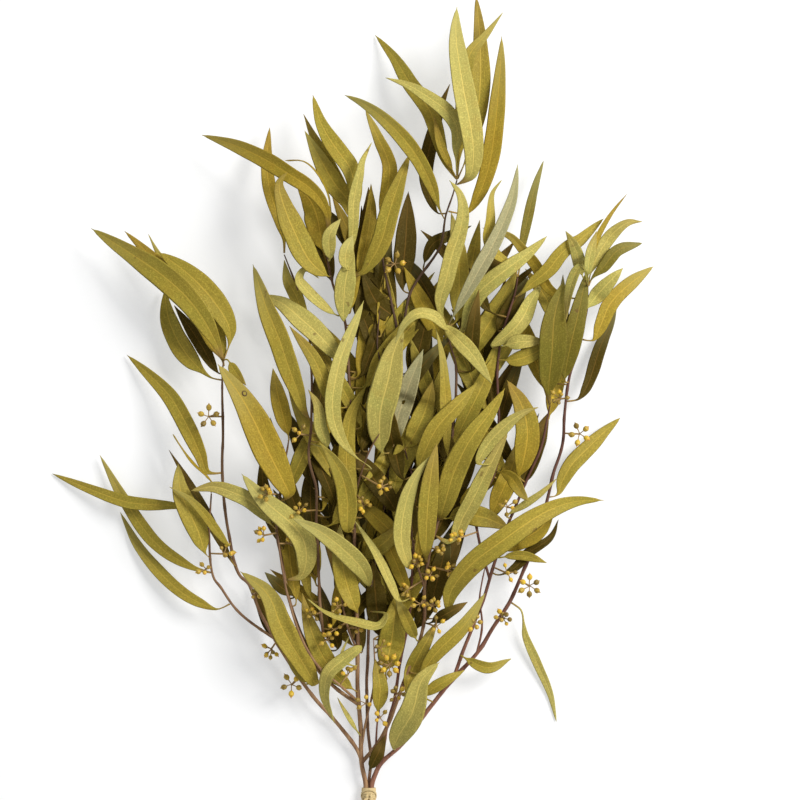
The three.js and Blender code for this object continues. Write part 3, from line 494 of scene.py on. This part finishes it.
def shade_leaves(count):
    """Leaves low in the thicket, mostly dark, grown to both sides of the twigs. Their dark look is partly
    painted shade.
    """
    rnd = random.Random(11)
    made = []
    spots = [s for s in TWIGS if SHADE_START < s[1] < SHADE_END and s[2] < SHADE_TOP
             and inside(s, THICKET)]
    while len(made) < count:
        spot = rnd.choice(spots)
        turn = math.radians(rnd.uniform(6, 42)) * rnd.choice((-1, 1))
        length = rnd.uniform(70, 130)
        bend = rnd.uniform(-0.5, 0.5)
        route = []
        heading = math.pi / 2 - turn
        x, y = spot[0], spot[1]
        for _ in range(5):
            x += math.cos(heading) * length / 5
            y += math.sin(heading) * length / 5
            heading += bend / 5
            route.append((x, y))
        if not all(inside(p, THICKET) for p in route):
            continue
        low = max(6, spot[2] - rnd.uniform(0, 6))
        look = rnd.choice(("dark", "dark", "dark", "olive", "gold"))
        made.append(free_leaf((look, rnd.uniform(10, 16), low, max(5, low - rnd.uniform(2, 16)),
                               rnd.uniform(-20, 20), rnd.uniform(-25, 25), route)))
    return made


# ---- keeping the leaves apart --------------------------------------------------------------------
def settle(leaves, passes=110):
    """Lifts and lowers the free leaves so that fewer cut what they cross. Some still do."""
    keel = 0.12
    spots, owner, place = [], [], []
    for k, leaf in enumerate(leaves):
        _, _, up = directions(leaf["spine"])
        for i in range(STATIONS):
            parts = ACROSS if leaf["half"][i] > 2 else ACROSS[2:3]
            for part in parts:
                spots.append(leaf["spine"][i] + leaf["side"][i] * part * leaf["half"][i]
                             + up[i] * abs(part) * leaf["half"][i] * keel)
                owner.append(k)
                place.append(i)
    for s in TWIGS[::2]:
        spots.append(s[:3])
        owner.append(len(leaves) + int(s[4]))
        place.append(0)
    spots, owner, place = np.array(spots), np.array(owner), np.array(place)
    total = owner.max() + 1
    free = np.array([not leaf["fixed"] for leaf in leaves] + [False] * (total - len(leaves)))
    tree = KDTree(len(spots))
    for i, p in enumerate(spots):
        tree.insert((p[0], p[1], 0), i)
    tree.balance()
    first, second = [], []
    for i, p in enumerate(spots):
        if not free[owner[i]]:
            continue
        for _, j, _ in tree.find_range((p[0], p[1], 0), REACH):
            if owner[j] == owner[i] or (free[owner[j]] and j < i):
                continue
            if owner[j] >= len(leaves) and place[i] < 4:
                continue
            first.append(i)
            second.append(j)
    first, second = np.array(first), np.array(second)
    pair = owner[first] * total + owner[second]
    _, index = np.unique(pair, return_inverse=True)
    rise = np.bincount(index, spots[first, 2] - spots[second, 2])
    way = np.where(rise >= 0, 1.0, -1.0)[index]
    share = np.where(free[owner[second]], 0.3, 0.5)
    loose = np.clip((np.linspace(0, 1, STATIONS) - 0.04) / 0.16, 0, 1)
    lift = np.zeros((total, STATIONS))
    for _ in range(passes):
        z = spots[:, 2] + lift[owner, place]
        short = CLEAR - way * (z[first] - z[second])
        hit = short > 0
        amount = (way * short * share)[hit]
        up, down = np.zeros_like(lift), np.zeros_like(lift)
        a, b = first[hit], second[hit]
        np.maximum.at(up, (owner[a], place[a]), amount)
        np.minimum.at(down, (owner[a], place[a]), amount)
        np.maximum.at(up, (owner[b], place[b]), -amount)
        np.minimum.at(down, (owner[b], place[b]), -amount)
        under = z < 0.8
        np.maximum.at(up, (owner[under], place[under]), 0.8 - z[under])
        lift[free] += ((up + down) * loose)[free]
        near = np.pad(lift, ((0, 0), (1, 1)), mode="edge")
        lift = 0.9 * lift + 0.05 * (near[:, :-2] + near[:, 2:])
        lift[:, 0] = 0
        lift[~free] = 0
    for k, leaf in enumerate(leaves):
        leaf["spine"] = leaf["spine"] + np.array([0, 0, 1]) * lift[k][:, None]


# ---- leaf meshes -------------------------------------------------------------------------------
def add_leaf(batch, leaf, number, slot=0):
    """One finished leaf: a thin closed blade with a raised midrib, a wavy edge and a round stalk."""
    rnd = random.Random(1000 + number)
    rows = smooth(np.hstack([leaf["spine"], leaf["side"] * leaf["half"][:, None]]), FINE)
    spine = rows[:, :3]
    half = np.linalg.norm(rows[:, 3:], axis=1)
    side = unit(rows[:, 3:])
    along = unit(np.gradient(spine, axis=0))
    top = unit(np.cross(side, along))
    u = np.linspace(0, 1, FINE)
    flat = np.clip((half - 0.9) / 2.5, 0, 1)
    half = half * (1 + waves(u, rnd, 0.05, 4) * flat)
    half[-1] = 0.12
    half[-2] = min(half[-2], 0.5)
    f = COLUMNS[None, :]
    keel = rnd.uniform(0.08, 0.24)
    dish = keel * half[:, None] * np.abs(f) ** 1.6
    left, right = waves(u, rnd, 0.07, 5), waves(u, rnd, 0.07, 5)
    edge = np.where(f < 0, left[:, None], right[:, None]) * half[:, None] * np.abs(f) ** 2.2
    rib = np.exp(-((f / 0.09) ** 2))
    thick = 0.19 + 0.03 * flat[:, None]
    lens = np.sqrt(np.maximum(0, 1 - f ** 6))
    round_half = np.minimum(half, 0.62)[:, None] * np.sqrt(np.maximum(0, 1 - f ** 2))
    blend = flat[:, None]
    over = (1 - blend) * round_half + blend * (thick * lens - 0.12 * rib * (1 - u[:, None]))
    under = (1 - blend) * round_half + blend * (thick * lens + 0.5 * rib * (1 - u[:, None]) ** 1.3)
    middle = spine[:, None] + side[:, None] * (half[:, None] * f)[..., None]
    bend = ((dish + edge) * blend)[..., None] * top[:, None]
    upper = middle + bend + over[..., None] * top[:, None]
    lower = middle + bend - under[..., None] * top[:, None]
    lower[:, 0] = upper[:, 0]
    lower[:, -1] = upper[:, -1]
    columns = len(COLUMNS)
    points = np.vstack([upper.reshape(-1, 3), lower[:, 1:-1].reshape(-1, 3)])
    inner = columns - 2
    start = FINE * columns

    def below(i, j):
        return i * columns + j if j in (0, columns - 1) else start + i * inner + j - 1

    faces = []
    for i in range(FINE - 1):
        for j in range(columns - 1):
            a = i * columns + j
            faces.append((a, a + 1, a + columns + 1, a + columns))
            faces.append((below(i, j + 1), below(i, j), below(i + 1, j), below(i + 1, j + 1)))
    faces.append([j for j in reversed(range(columns))] + [below(0, j) for j in range(1, inner + 1)])
    last = FINE - 1
    faces.append([last * columns + j for j in range(columns)]
                 + [below(last, j) for j in range(inner, 0, -1)])
    grid = np.stack(np.meshgrid((COLUMNS + 1) / 2, u), -1)
    uv = np.vstack([grid.reshape(-1, 2), grid[:, 1:-1].reshape(-1, 2)])
    tone = np.zeros((len(points), 4))
    tone[:, 0] = rnd.random()
    tone[start:, 1] = 1
    tone[:, 2] = uv[:, 1]
    tone[:, 3] = 1
    batch.add(points, faces, uv, tone, slot)


# ---- materials -----------------------------------------------------------------------------------
def nodes_of(name):
    material = bpy.data.materials.new(name)
    material.use_nodes = True
    tree = material.node_tree
    return material, tree, tree.nodes["Principled BSDF"]


def link(tree, a, b):
    tree.links.new(a, b)


def number(tree, operation, a, b=None, c=None):
    node = tree.nodes.new("ShaderNodeMath")
    node.operation = operation
    for socket, value in zip(node.inputs, (a, b, c)):
        if value is None:
            continue
        if isinstance(value, (int, float)):
            socket.default_value = value
        else:
            link(tree, value, socket)
    return node.outputs[0]


def mixed(tree, factor, a, b):
    node = tree.nodes.new("ShaderNodeMix")
    node.data_type = "RGBA"
    sockets = {"Factor": factor, "A": a, "B": b}
    for key, value in sockets.items():
        socket = next(s for s in node.inputs if s.name == key and s.enabled)
        if isinstance(value, tuple):
            socket.default_value = (*value, 1)
        elif isinstance(value, (int, float)):
            socket.default_value = value
        else:
            link(tree, value, socket)
    return next(s for s in node.outputs if s.enabled)


def noise(tree, vector, scale, detail=3, rough=0.6):
    node = tree.nodes.new("ShaderNodeTexNoise")
    node.inputs["Scale"].default_value = scale
    node.inputs["Detail"].default_value = detail
    node.inputs["Roughness"].default_value = rough
    link(tree, vector, node.inputs["Vector"])
    return node.outputs["Fac"]


def ramp(tree, value, low, high, to_low=0.0, to_high=1.0):
    node = tree.nodes.new("ShaderNodeMapRange")
    node.interpolation_type = "SMOOTHSTEP"
    for key, limit in (("From Min", low), ("From Max", high), ("To Min", to_low),
                         ("To Max", to_high)):
        node.inputs[key].default_value = limit
    link(tree, value, node.inputs["Value"])
    return node.outputs[0]


def leaf_material(name, colour, under):
    """Dried leaf: mottled, streaked along its length, pale midrib, darker edge, sparse blemishes."""
    material, tree, surface = nodes_of(name)
    tone = tree.nodes.new("ShaderNodeAttribute")
    tone.attribute_name = "tone"
    parts = tree.nodes.new("ShaderNodeSeparateColor")
    link(tree, tone.outputs["Color"], parts.inputs[0])
    seed, below, along = parts.outputs[0], parts.outputs[1], parts.outputs[2]
    uv = tree.nodes.new("ShaderNodeUVMap")
    uv.uv_map = "along"
    split = tree.nodes.new("ShaderNodeSeparateXYZ")
    link(tree, uv.outputs[0], split.inputs[0])
    across = number(tree, "ABSOLUTE", number(tree, "SUBTRACT", split.outputs[0], 0.5))
    place = tree.nodes.new("ShaderNodeTexCoord").outputs["Object"]
    streak_at = tree.nodes.new("ShaderNodeCombineXYZ")
    link(tree, number(tree, "MULTIPLY", split.outputs[0], 26), streak_at.inputs[0])
    link(tree, number(tree, "MULTIPLY", split.outputs[1], 3.5), streak_at.inputs[1])
    link(tree, number(tree, "MULTIPLY", seed, 97), streak_at.inputs[2])
    streaks = noise(tree, streak_at.outputs[0], 1.0, 4)
    patches = noise(tree, place, 38, 3)
    grain = noise(tree, place, 900, 3, 0.7)
    blots = noise(tree, place, 130, 2, 0.5)
    fine = noise(tree, place, 850, 3, 0.7)
    fibre_at = tree.nodes.new("ShaderNodeCombineXYZ")
    link(tree, number(tree, "MULTIPLY", split.outputs[0], 44), fibre_at.inputs[0])
    link(tree, number(tree, "MULTIPLY", split.outputs[1], 15), fibre_at.inputs[1])
    link(tree, number(tree, "MULTIPLY", seed, 53), fibre_at.inputs[2])
    fibres = noise(tree, fibre_at.outputs[0], 1.0, 3, 0.65)
    clouds = noise(tree, place, 75, 3, 0.6)

    bright = tuple(c * 1.22 for c in colour)
    light = tuple(c * 1.5 + 0.012 for c in colour)
    deep = tuple(c * 0.62 for c in colour)
    tan = (0.26, 0.16, 0.04)
    ochre = (colour[0] * 1.12, colour[1] * 0.88, colour[2] * 0.7)
    pale = tuple((c + a) / 2 for c, a in zip(colour, (0.42, 0.41, 0.18)))
    green = (colour[0] * 0.70, colour[1] * 0.92, colour[2] * 0.9)
    shade = mixed(tree, ramp(tree, streaks, 0.3, 0.7), deep, bright)
    body = mixed(tree, 0.7, colour, shade)
    body = mixed(tree, ramp(tree, patches, 0.35, 0.7, 0.0, 0.6), body, green)
    body = mixed(tree, ramp(tree, seed, 0.0, 1.0, 0.0, 0.4), body, bright)
    body = mixed(tree, ramp(tree, clouds, 0.5, 0.72, 0.0, 0.4), body, ochre)
    body = mixed(tree, ramp(tree, grain, 0.44, 0.68, 0.0, 0.6), body, deep)
    body = mixed(tree, ramp(tree, fibres, 0.42, 0.62, 0.45, 0.0), body, deep)
    body = mixed(tree, ramp(tree, fine, 0.5, 0.66, 0.0, 0.55), body, light)
    tip = ramp(tree, along, 0.5, 1.0)
    body = mixed(tree, number(tree, "MULTIPLY", tip, ramp(tree, seed, 0.5, 0.9, 0.0, 0.6)), body, pale)
    body = mixed(tree, number(tree, "MULTIPLY", tip, ramp(tree, seed, 0.15, 0.4, 0.5, 0.0)), body, tan)
    edge = ramp(tree, across, 0.465, 0.5, 0.0, 0.3)
    body = mixed(tree, edge, body, tan)
    body = mixed(tree, ramp(tree, blots, 0.7, 0.78, 0.0, 0.6), body, (0.12, 0.06, 0.015))
    body = mixed(tree, number(tree, "MULTIPLY", below, 0.6), body, under)
    rib = ramp(tree, across, 0.01, 0.034, 0.7, 0.0)
    body = mixed(tree, rib, body, tuple(c * 1.05 + a for c, a in zip(bright, (0.09, 0.035, 0.012))))
    stalk = ramp(tree, along, 0.03, 0.1, 0.85, 0.0)
    body = mixed(tree, stalk, body, (0.34, 0.215, 0.06))
    link(tree, body, surface.inputs["Base Color"])
    link(tree, ramp(tree, grain, 0.3, 0.7, 0.52, 0.72), surface.inputs["Roughness"])
    surface.inputs["Specular IOR Level"].default_value = 0.08 if name == "leaf_dark" else 0.2

    veins_at = number(tree, "ADD", number(tree, "MULTIPLY", split.outputs[1], 60),
                      number(tree, "MULTIPLY", across, -26))
    veins = number(tree, "SINE", number(tree, "MULTIPLY", veins_at, 6.2832 / 2))
    relief = number(tree, "ADD", number(tree, "MULTIPLY", veins, 0.12),
                    number(tree, "ADD", number(tree, "MULTIPLY", grain, 0.5), streaks))
    bump = tree.nodes.new("ShaderNodeBump")
    bump.inputs["Strength"].default_value = 0.35
    bump.inputs["Distance"].default_value = 0.0004
    link(tree, relief, bump.inputs["Height"])
    link(tree, bump.outputs[0], surface.inputs["Normal"])
    return material


def bark_material(name, colour, deep):
    material, tree, surface = nodes_of(name)
    place = tree.nodes.new("ShaderNodeTexCoord").outputs["Object"]
    stretch = tree.nodes.new("ShaderNodeMapping")
    stretch.inputs["Scale"].default_value = (1, 0.22, 1)
    link(tree, place, stretch.inputs["Vector"])
    patches = noise(tree, stretch.outputs[0], 260, 4, 0.6)
    grain = noise(tree, stretch.outputs[0], 1600, 3, 0.7)
    body = mixed(tree, ramp(tree, patches, 0.3, 0.7), deep, colour)
    light = tuple(c * 1.7 + a for c, a in zip(colour, (0.06, 0.03, 0.01)))
    body = mixed(tree, ramp(tree, grain, 0.55, 0.75, 0.0, 0.5), body, light)
    tone = tree.nodes.new("ShaderNodeAttribute")
    tone.attribute_name = "tone"
    parts = tree.nodes.new("ShaderNodeSeparateColor")
    link(tree, tone.outputs["Color"], parts.inputs[0])
    # darker further up the bunch, where the twigs run under the leaves: partly the darker bark of the
    # thinner twigs, partly painted shade
    thin = tuple(c * 0.45 for c in deep)
    body = mixed(tree, ramp(tree, parts.outputs[2], 0.1, 0.6, 0.0, 0.75), body, thin)
    link(tree, body, surface.inputs["Base Color"])
    surface.inputs["Roughness"].default_value = 0.62
    surface.inputs["Specular IOR Level"].default_value = 0.3
    bump = tree.nodes.new("ShaderNodeBump")
    bump.inputs["Strength"].default_value = 0.5
    bump.inputs["Distance"].default_value = 0.0003
    link(tree, number(tree, "ADD", patches, grain), bump.inputs["Height"])
    link(tree, bump.outputs[0], surface.inputs["Normal"])
    return material


def bud_material():
    """Golden buds, more orange-brown towards their pointed caps."""
    material, tree, surface = nodes_of("buds")
    tone = tree.nodes.new("ShaderNodeAttribute")
    tone.attribute_name = "tone"
    parts = tree.nodes.new("ShaderNodeSeparateColor")
    link(tree, tone.outputs["Color"], parts.inputs[0])
    place = tree.nodes.new("ShaderNodeTexCoord").outputs["Object"]
    grain = noise(tree, place, 700, 3, 0.6)
    body = mixed(tree, ramp(tree, parts.outputs[2], 0.5, 0.95), (0.70, 0.47, 0.035),
                 (0.55, 0.25, 0.03))
    body = mixed(tree, ramp(tree, parts.outputs[0], 0.3, 0.5, 0, 0.75), body, (0.36, 0.24, 0.04))
    body = mixed(tree, ramp(tree, parts.outputs[0], 0.6, 0.85, 0, 0.85), body, (0.16, 0.10, 0.02))
    body = mixed(tree, ramp(tree, grain, 0.45, 0.7, 0.0, 0.35), body, (0.78, 0.58, 0.10))
    link(tree, body, surface.inputs["Base Color"])
    surface.inputs["Roughness"].default_value = 0.4
    surface.inputs["Specular IOR Level"].default_value = 0.35
    return material


def plain_material(name, colour, rough, fibres=None):
    material, tree, surface = nodes_of(name)
    surface.inputs["Roughness"].default_value = rough
    surface.inputs["Base Color"].default_value = (*colour, 1)
    if fibres:
        uv = tree.nodes.new("ShaderNodeUVMap")
        uv.uv_map = "along"
        stretch = tree.nodes.new("ShaderNodeMapping")
        stretch.inputs["Scale"].default_value = (40, 3, 1)
        link(tree, uv.outputs[0], stretch.inputs["Vector"])
        lines = noise(tree, stretch.outputs[0], 1, 4, 0.7)
        body = mixed(tree, ramp(tree, lines, 0.3, 0.7), fibres, colour)
        link(tree, body, surface.inputs["Base Color"])
        bump = tree.nodes.new("ShaderNodeBump")
        bump.inputs["Strength"].default_value = 0.6
        bump.inputs["Distance"].default_value = 0.0002
        link(tree, lines, bump.inputs["Height"])
        link(tree, bump.outputs[0], surface.inputs["Normal"])
    return material


MATERIALS = {look: leaf_material(*LOOKS[look]) for look in LOOKS}
BARKS = {
    "stem_left": ("bark_brown", bark_material("bark_brown", (0.40, 0.24, 0.115), (0.21, 0.105, 0.05))),
    "stem_right": ("bark_red", bark_material("bark_red", (0.30, 0.135, 0.08), (0.15, 0.06, 0.04))),
    "stem_middle": ("bark_dark", bark_material("bark_dark", (0.24, 0.13, 0.07), (0.11, 0.06, 0.03))),
}
BUDS = bud_material()
STALKS = plain_material("bud_stalks", (0.34, 0.21, 0.07), 0.6)
WOOD = plain_material("cut_wood", (0.55, 0.42, 0.26), 0.8)
RAFFIA = plain_material("raffia", (0.74, 0.60, 0.33), 0.75, (0.50, 0.36, 0.15))


# ---- building the bunch ------------------------------------------------------------------------
def look_of(node):
    slots = {s["node"]: s["material_slot"] for s in frame["record"]["subparts"]}
    return {"leaf_olive": "olive", "leaf_light": "light", "leaf_gold": "gold",
            "leaf_dark": "dark"}[slots[node]]


def add_scar(leaf):
    """A small corky ring on the blade of the large ochre leaf."""
    place, side, along = leaf["spine"][16], leaf["side"][16], leaf["spine"][17] - leaf["spine"][16]
    along = unit(along)
    up = np.cross(side, along)
    middle = place + side * leaf["half"][16] * 0.45 + up * (0.25 + 0.1 * leaf["half"][16] * 0.3)
    angle = np.linspace(0, 2 * np.pi, 20)
    route = middle + np.cos(angle)[:, None] * side * 1.5 + np.sin(angle)[:, None] * along * 1.9
    batch = Batch()
    add_rings(batch, tube_rings(route, np.full(20, 0.42), 8), (0.5, 0, 1, 1))
    batch.make("leaf_scar", [BARKS["stem_middle"][1]], LOOKS["gold"][0])


# leaves of the frame whose finish differs a little from their slot's usual one
ANOTHER_LOOK = {"leaf_top_1": "olive", "leaf_top_2": "light", "leaf_top_3": "olive",
                "leaf_top_6": "grey", "leaf_top_7": "deep", "leaf_left_6": "olive",
                "leaf_right_3": "deep", "leaf_right_4": "deep", "leaf_right_7": "olive",
                "leaf_lower_right_2": "olive"}


def build_leaves():
    names = sorted(n for n in frame["nodes"] if n.startswith("leaf_"))
    leaves = [frame_leaf(n, ANOTHER_LOOK.get(n, look_of(n))) for n in names]
    leaves += [free_leaf(row) for row in MORE_LEAVES]
    leaves += shade_leaves(SHADE_COUNT)
    settle(leaves)
    groups = {}
    for index, leaf in enumerate(leaves):
        if leaf["fixed"]:
            batch = Batch()
            add_leaf(batch, leaf, index)
            look = leaf["look"]
            slot = LOOKS[look_of(leaf["name"])][0]
            batch.make(leaf["name"] + "_fine", [MATERIALS[look]], slot, [leaf["name"]])
        else:
            key = (leaf["look"], int(leaf["spine"][0][1] // BAND))
            add_leaf(groups.setdefault(key, Batch()), leaf, index)
    add_scar(next(leaf for leaf in leaves if leaf["name"] == "leaf_left_5"))
    for (look, band), batch in groups.items():
        batch.make(f"leaves_{look}_{band}", [MATERIALS[look]], LOOKS[look][0])


def build_stems():
    for name, routes in STEMS.items():
        batch = Batch()
        rnd = random.Random(name)
        for radii, route in routes + THIN_TWIGS[name]:
            length = np.linalg.norm(np.diff(np.array(route), axis=0), axis=1).sum()
            count = int(length / 2.5)
            spine = smooth(route, count)
            u = np.linspace(0, 1, count)
            _, across, up = directions(spine)
            wander = waves(u * length / 90, rnd, 0.22, 4)[:, None] * np.clip(u * 6, 0, 1)[:, None]
            spine = spine + (across + up * 0.4) * wander * np.clip(spine[:, 1:2] / 40, 0, 1)
            radius = radii[0] + (radii[1] - radii[0]) * u
            knots = np.zeros(count)
            for knot_at in np.arange(18, length, rnd.uniform(20, 26)):
                knots += np.exp(-(((u * length - knot_at) / 2.2) ** 2))
            radius = radius * (1 + 0.05 * waves(u * length / 40, rnd, 1, 4)) + 0.18 * knots
            start = len(batch.tones)
            radius *= 1 - 0.45 * np.clip((u - 0.9) / 0.1, 0, 1)
            cut = 1 if (radii, route) == routes[0] else 0
            add_rings(batch, tube_rings(spine, radius, 12), (0.5, 0, 0.5, 1), 0, cut)
            # how far up the bunch the bark darkens, partly painted shade under the leaves
            batch.tones[start][:, 2] = np.repeat(np.clip(spine[:, 1] / 400, 0, 1), 12)
        slot, material = BARKS[name]
        batch.make(name + "_fine", [material, WOOD], slot, [name])


BUD_PROFILE = [(0, 0.3), (0.06, 0.55), (0.16, 0.8), (0.3, 0.97), (0.44, 1), (0.55, 0.93),
               (0.575, 0.98), (0.6, 0.9), (0.7, 0.66), (0.78, 0.4), (0.86, 0.2), (0.94, 0.12),
               (1, 0.06)]


def fan(axis, count, rnd):
    """Directions spread round an axis, as the buds of one head stand."""
    side = unit(np.cross(axis, np.array([0.3, 0.2, 1.0])))
    other = np.cross(axis, side)
    turn = rnd.uniform(0, 6.28)
    for i in range(count):
        angle = turn + 2 * math.pi * i / count + rnd.uniform(-0.3, 0.3)
        lean = math.radians(rnd.uniform(20, 82))
        yield unit(axis * math.cos(lean)
                   + (side * math.cos(angle) + other * math.sin(angle)) * math.sin(lean))


def add_bud(batch, heart, way, stalk, length, fat, rnd):
    base = heart + way * stalk
    bend = unit(np.array([rnd.uniform(-1, 1), rnd.uniform(-1, 1), rnd.uniform(-1, 1)])) * 0.35
    spine = smooth([heart - way * 0.3, (heart + base) / 2 + bend, base + way * 0.5], 6)
    add_rings(batch, tube_rings(spine, [0.5, 0.4, 0.36, 0.36, 0.42, 0.55], 7), (0.5, 0, 0.5, 1), 1)
    spine = np.array([base + way * a * length for a, _ in BUD_PROFILE])
    start = len(batch.tones)
    add_rings(batch, tube_rings(spine, [r * fat for _, r in BUD_PROFILE], 12),
              (rnd.random(), 0, 0.5, 1))
    batch.tones[start][:, 2] = np.repeat([a for a, _ in BUD_PROFILE], 12)


def add_peduncle(batch, foot, heart):
    mid = (foot + heart) / 2 + np.array([0, 0, 1.2])
    spine = smooth([foot, mid, heart], 10)
    add_rings(batch, tube_rings(spine, np.linspace(0.6, 0.72, 10), 8), (0.5, 0, 0.5, 1), 1)


def twig_side(middle):
    """Where the stalk of a head of buds leaves its twig."""
    twig = nearest_twig(middle)
    return twig[:3] + unit(np.array(middle) - twig[:3]) * twig[3] * 0.5


def build_buds():
    rnd = random.Random(5)
    for node, (middle, count, turn) in FRAME_UMBELS.items():
        batch = Batch()
        heart = np.array(middle, float)
        add_peduncle(batch, twig_side(middle), heart)
        for i in range(count):
            angle = turn + 2 * math.pi * i / count
            way = np.array([math.cos(angle), math.sin(angle), 0.25 if i % 2 else 0.6])
            add_bud(batch, heart, unit(way), 4.5, rnd.uniform(5.4, 6.1), 2.1, rnd)
        batch.make(node + "_fine", [BUDS, STALKS], "buds", [node])
    batch = Batch()
    for middle in MORE_UMBELS:
        heart, foot = np.array(middle, float), twig_side(middle)
        add_peduncle(batch, foot, heart)
        axis = unit(unit(heart - foot) + np.array([rnd.uniform(-0.4, 0.4), 0.5, rnd.uniform(0, 0.5)]))
        for way in fan(axis, rnd.randint(4, 7), rnd):
            length = rnd.uniform(3.7, 5.2)
            add_bud(batch, heart, way, rnd.uniform(2.4, 5.4), length, length * 0.37, rnd)
    batch.make("more_buds", [BUDS, STALKS], "buds")


def add_ribbon(batch, route, width, thick, facing, count=90):
    """A flat strand along a route, with its face towards the given points' outside."""
    spine = smooth(route, count)
    along = unit(np.gradient(spine, axis=0))
    out = unit(facing(spine))
    side = unit(np.cross(along, out))
    out = np.cross(side, along)
    corners = [(-1, -0.5), (-0.5, -1), (0.5, -1), (1, -0.5), (1, 0.5), (0.4, 0.8), (-0.4, 0.8), (-1, 0.5)]
    ring = np.stack([spine + side * (a * width / 2) + out * (b * thick / 2) for a, b in corners], 1)
    add_rings(batch, ring, (0.5, 0, 0.5, 1))


def build_tie():
    """Turns of flat raffia round the three stems, two of them crossing, a knot and its ends."""
    batch = Batch()
    rnd = random.Random(3)
    centre = np.array([1.35, 0, 5.0])

    def outward(spine):
        out = spine - centre
        out[:, 1] = 0
        return out

    turns = [(-5.4, -4.6, 0), (-3.9, -4.3, 0.2), (-2.9, -2.2, 0), (-1.2, -1.5, 0.15), (0.1, 0.7, 0),
             (1.9, 1.5, 0.2), (2.8, 3.4, 0), (4.5, 4.1, 0.15), (5.5, 5.2, 0), (-5.0, 4.8, 0.5),
             (5.0, -4.4, 0.7)]
    for start, stop, lift in turns:
        route = []
        for k in range(25):
            angle = math.pi / 2 + 2 * math.pi * k / 24
            y = start + (stop - start) * (0.5 - 0.5 * math.cos(2 * math.pi * k / 24))
            wide = 5.1 + lift + rnd.uniform(-0.1, 0.1) * (k % 24 > 0)
            high = 4.1 + lift
            route.append((centre[0] + wide * math.cos(angle), y, centre[2] + high * math.sin(angle)))
        add_ribbon(batch, route, rnd.uniform(1.3, 1.7), 0.4, outward)
    knot = []
    for k in range(33):
        a = 2 * math.pi * k / 16
        knot.append((centre[0] + 2.3 * math.cos(a), 1.6 * math.sin(a) * math.cos(a / 2),
                     10.3 + 1.1 * math.sin(2 * a + 0.5)))

    def upward(spine):
        return spine - np.array([centre[0], 0, 8.5])

    add_ribbon(batch, knot, 2.3, 0.4, upward)
    for end in ((-7.6, -17, 4.6), (10.3, -17, 4.6), (-4.5, -15, 4.2), (6.8, -14, 4)):
        middle = ((centre[0] + end[0]) / 2, -8, 10.8)
        add_ribbon(batch, [(centre[0], 0, 10.6), (centre[0] * 0.6 + end[0] * 0.4, -3.5, 11.6), middle,
                           end], 1.7, 0.35, upward, 40)
    batch.make("raffia_tie_fine", [RAFFIA], "raffia", ["raffia_tie"])


# ---- floor, light and camera ---------------------------------------------------------------------
def build_stage():
    middle = TIE + Vector((0.02475, 0.29625, 0))
    mesh = bpy.data.meshes.new("floor")
    side = 6
    mesh.from_pydata([(-side, -side, -0.0005), (side, -side, -0.0005), (side, side, -0.0005),
                      (-side, side, -0.0005)], [], [(0, 1, 2, 3)])
    floor = bpy.data.objects.new("floor", mesh)
    bpy.context.scene.collection.objects.link(floor)
    paper, _, surface = nodes_of("floor")
    surface.inputs["Base Color"].default_value = (0.6, 0.6, 0.6, 1)
    surface.inputs["Roughness"].default_value = 1
    surface.inputs["Specular IOR Level"].default_value = 0
    surface.inputs["Emission Color"].default_value = (0.97, 0.985, 1, 1)
    surface.inputs["Emission Strength"].default_value = 0.42
    mesh.materials.append(paper)

    world = bpy.data.worlds.new("studio")
    world.use_nodes = True
    world.node_tree.nodes["Background"].inputs[0].default_value = (0.985, 0.99, 1, 1)
    world.node_tree.nodes["Background"].inputs[1].default_value = 0.5
    bpy.context.scene.world = world

    def softbox(name, place, size, power, colour):
        light = bpy.data.lights.new(name, "AREA")
        light.size = size
        light.energy = power
        light.color = colour
        lamp = bpy.data.objects.new(name, light)
        lamp.location = middle + Vector(place)
        aim = middle - lamp.location
        lamp.rotation_euler = aim.to_track_quat("-Z", "Y").to_euler()
        bpy.context.scene.collection.objects.link(lamp)

    softbox("key", (1.5, 0.9, 1.7), 1.1, 64, (1, 0.985, 0.96))

    camera = bpy.data.objects.new("camera", bpy.data.cameras.new("camera"))
    camera.data.lens = 180
    camera.data.sensor_width = 36
    camera.data.clip_end = 20
    camera.location = middle + Vector((0, 0, 3.0))
    bpy.context.scene.collection.objects.link(camera)
    bpy.context.scene.camera = camera
    bpy.context.scene.view_settings.view_transform = "Standard"


build_leaves()
build_stems()
build_buds()
build_tie()
build_stage()
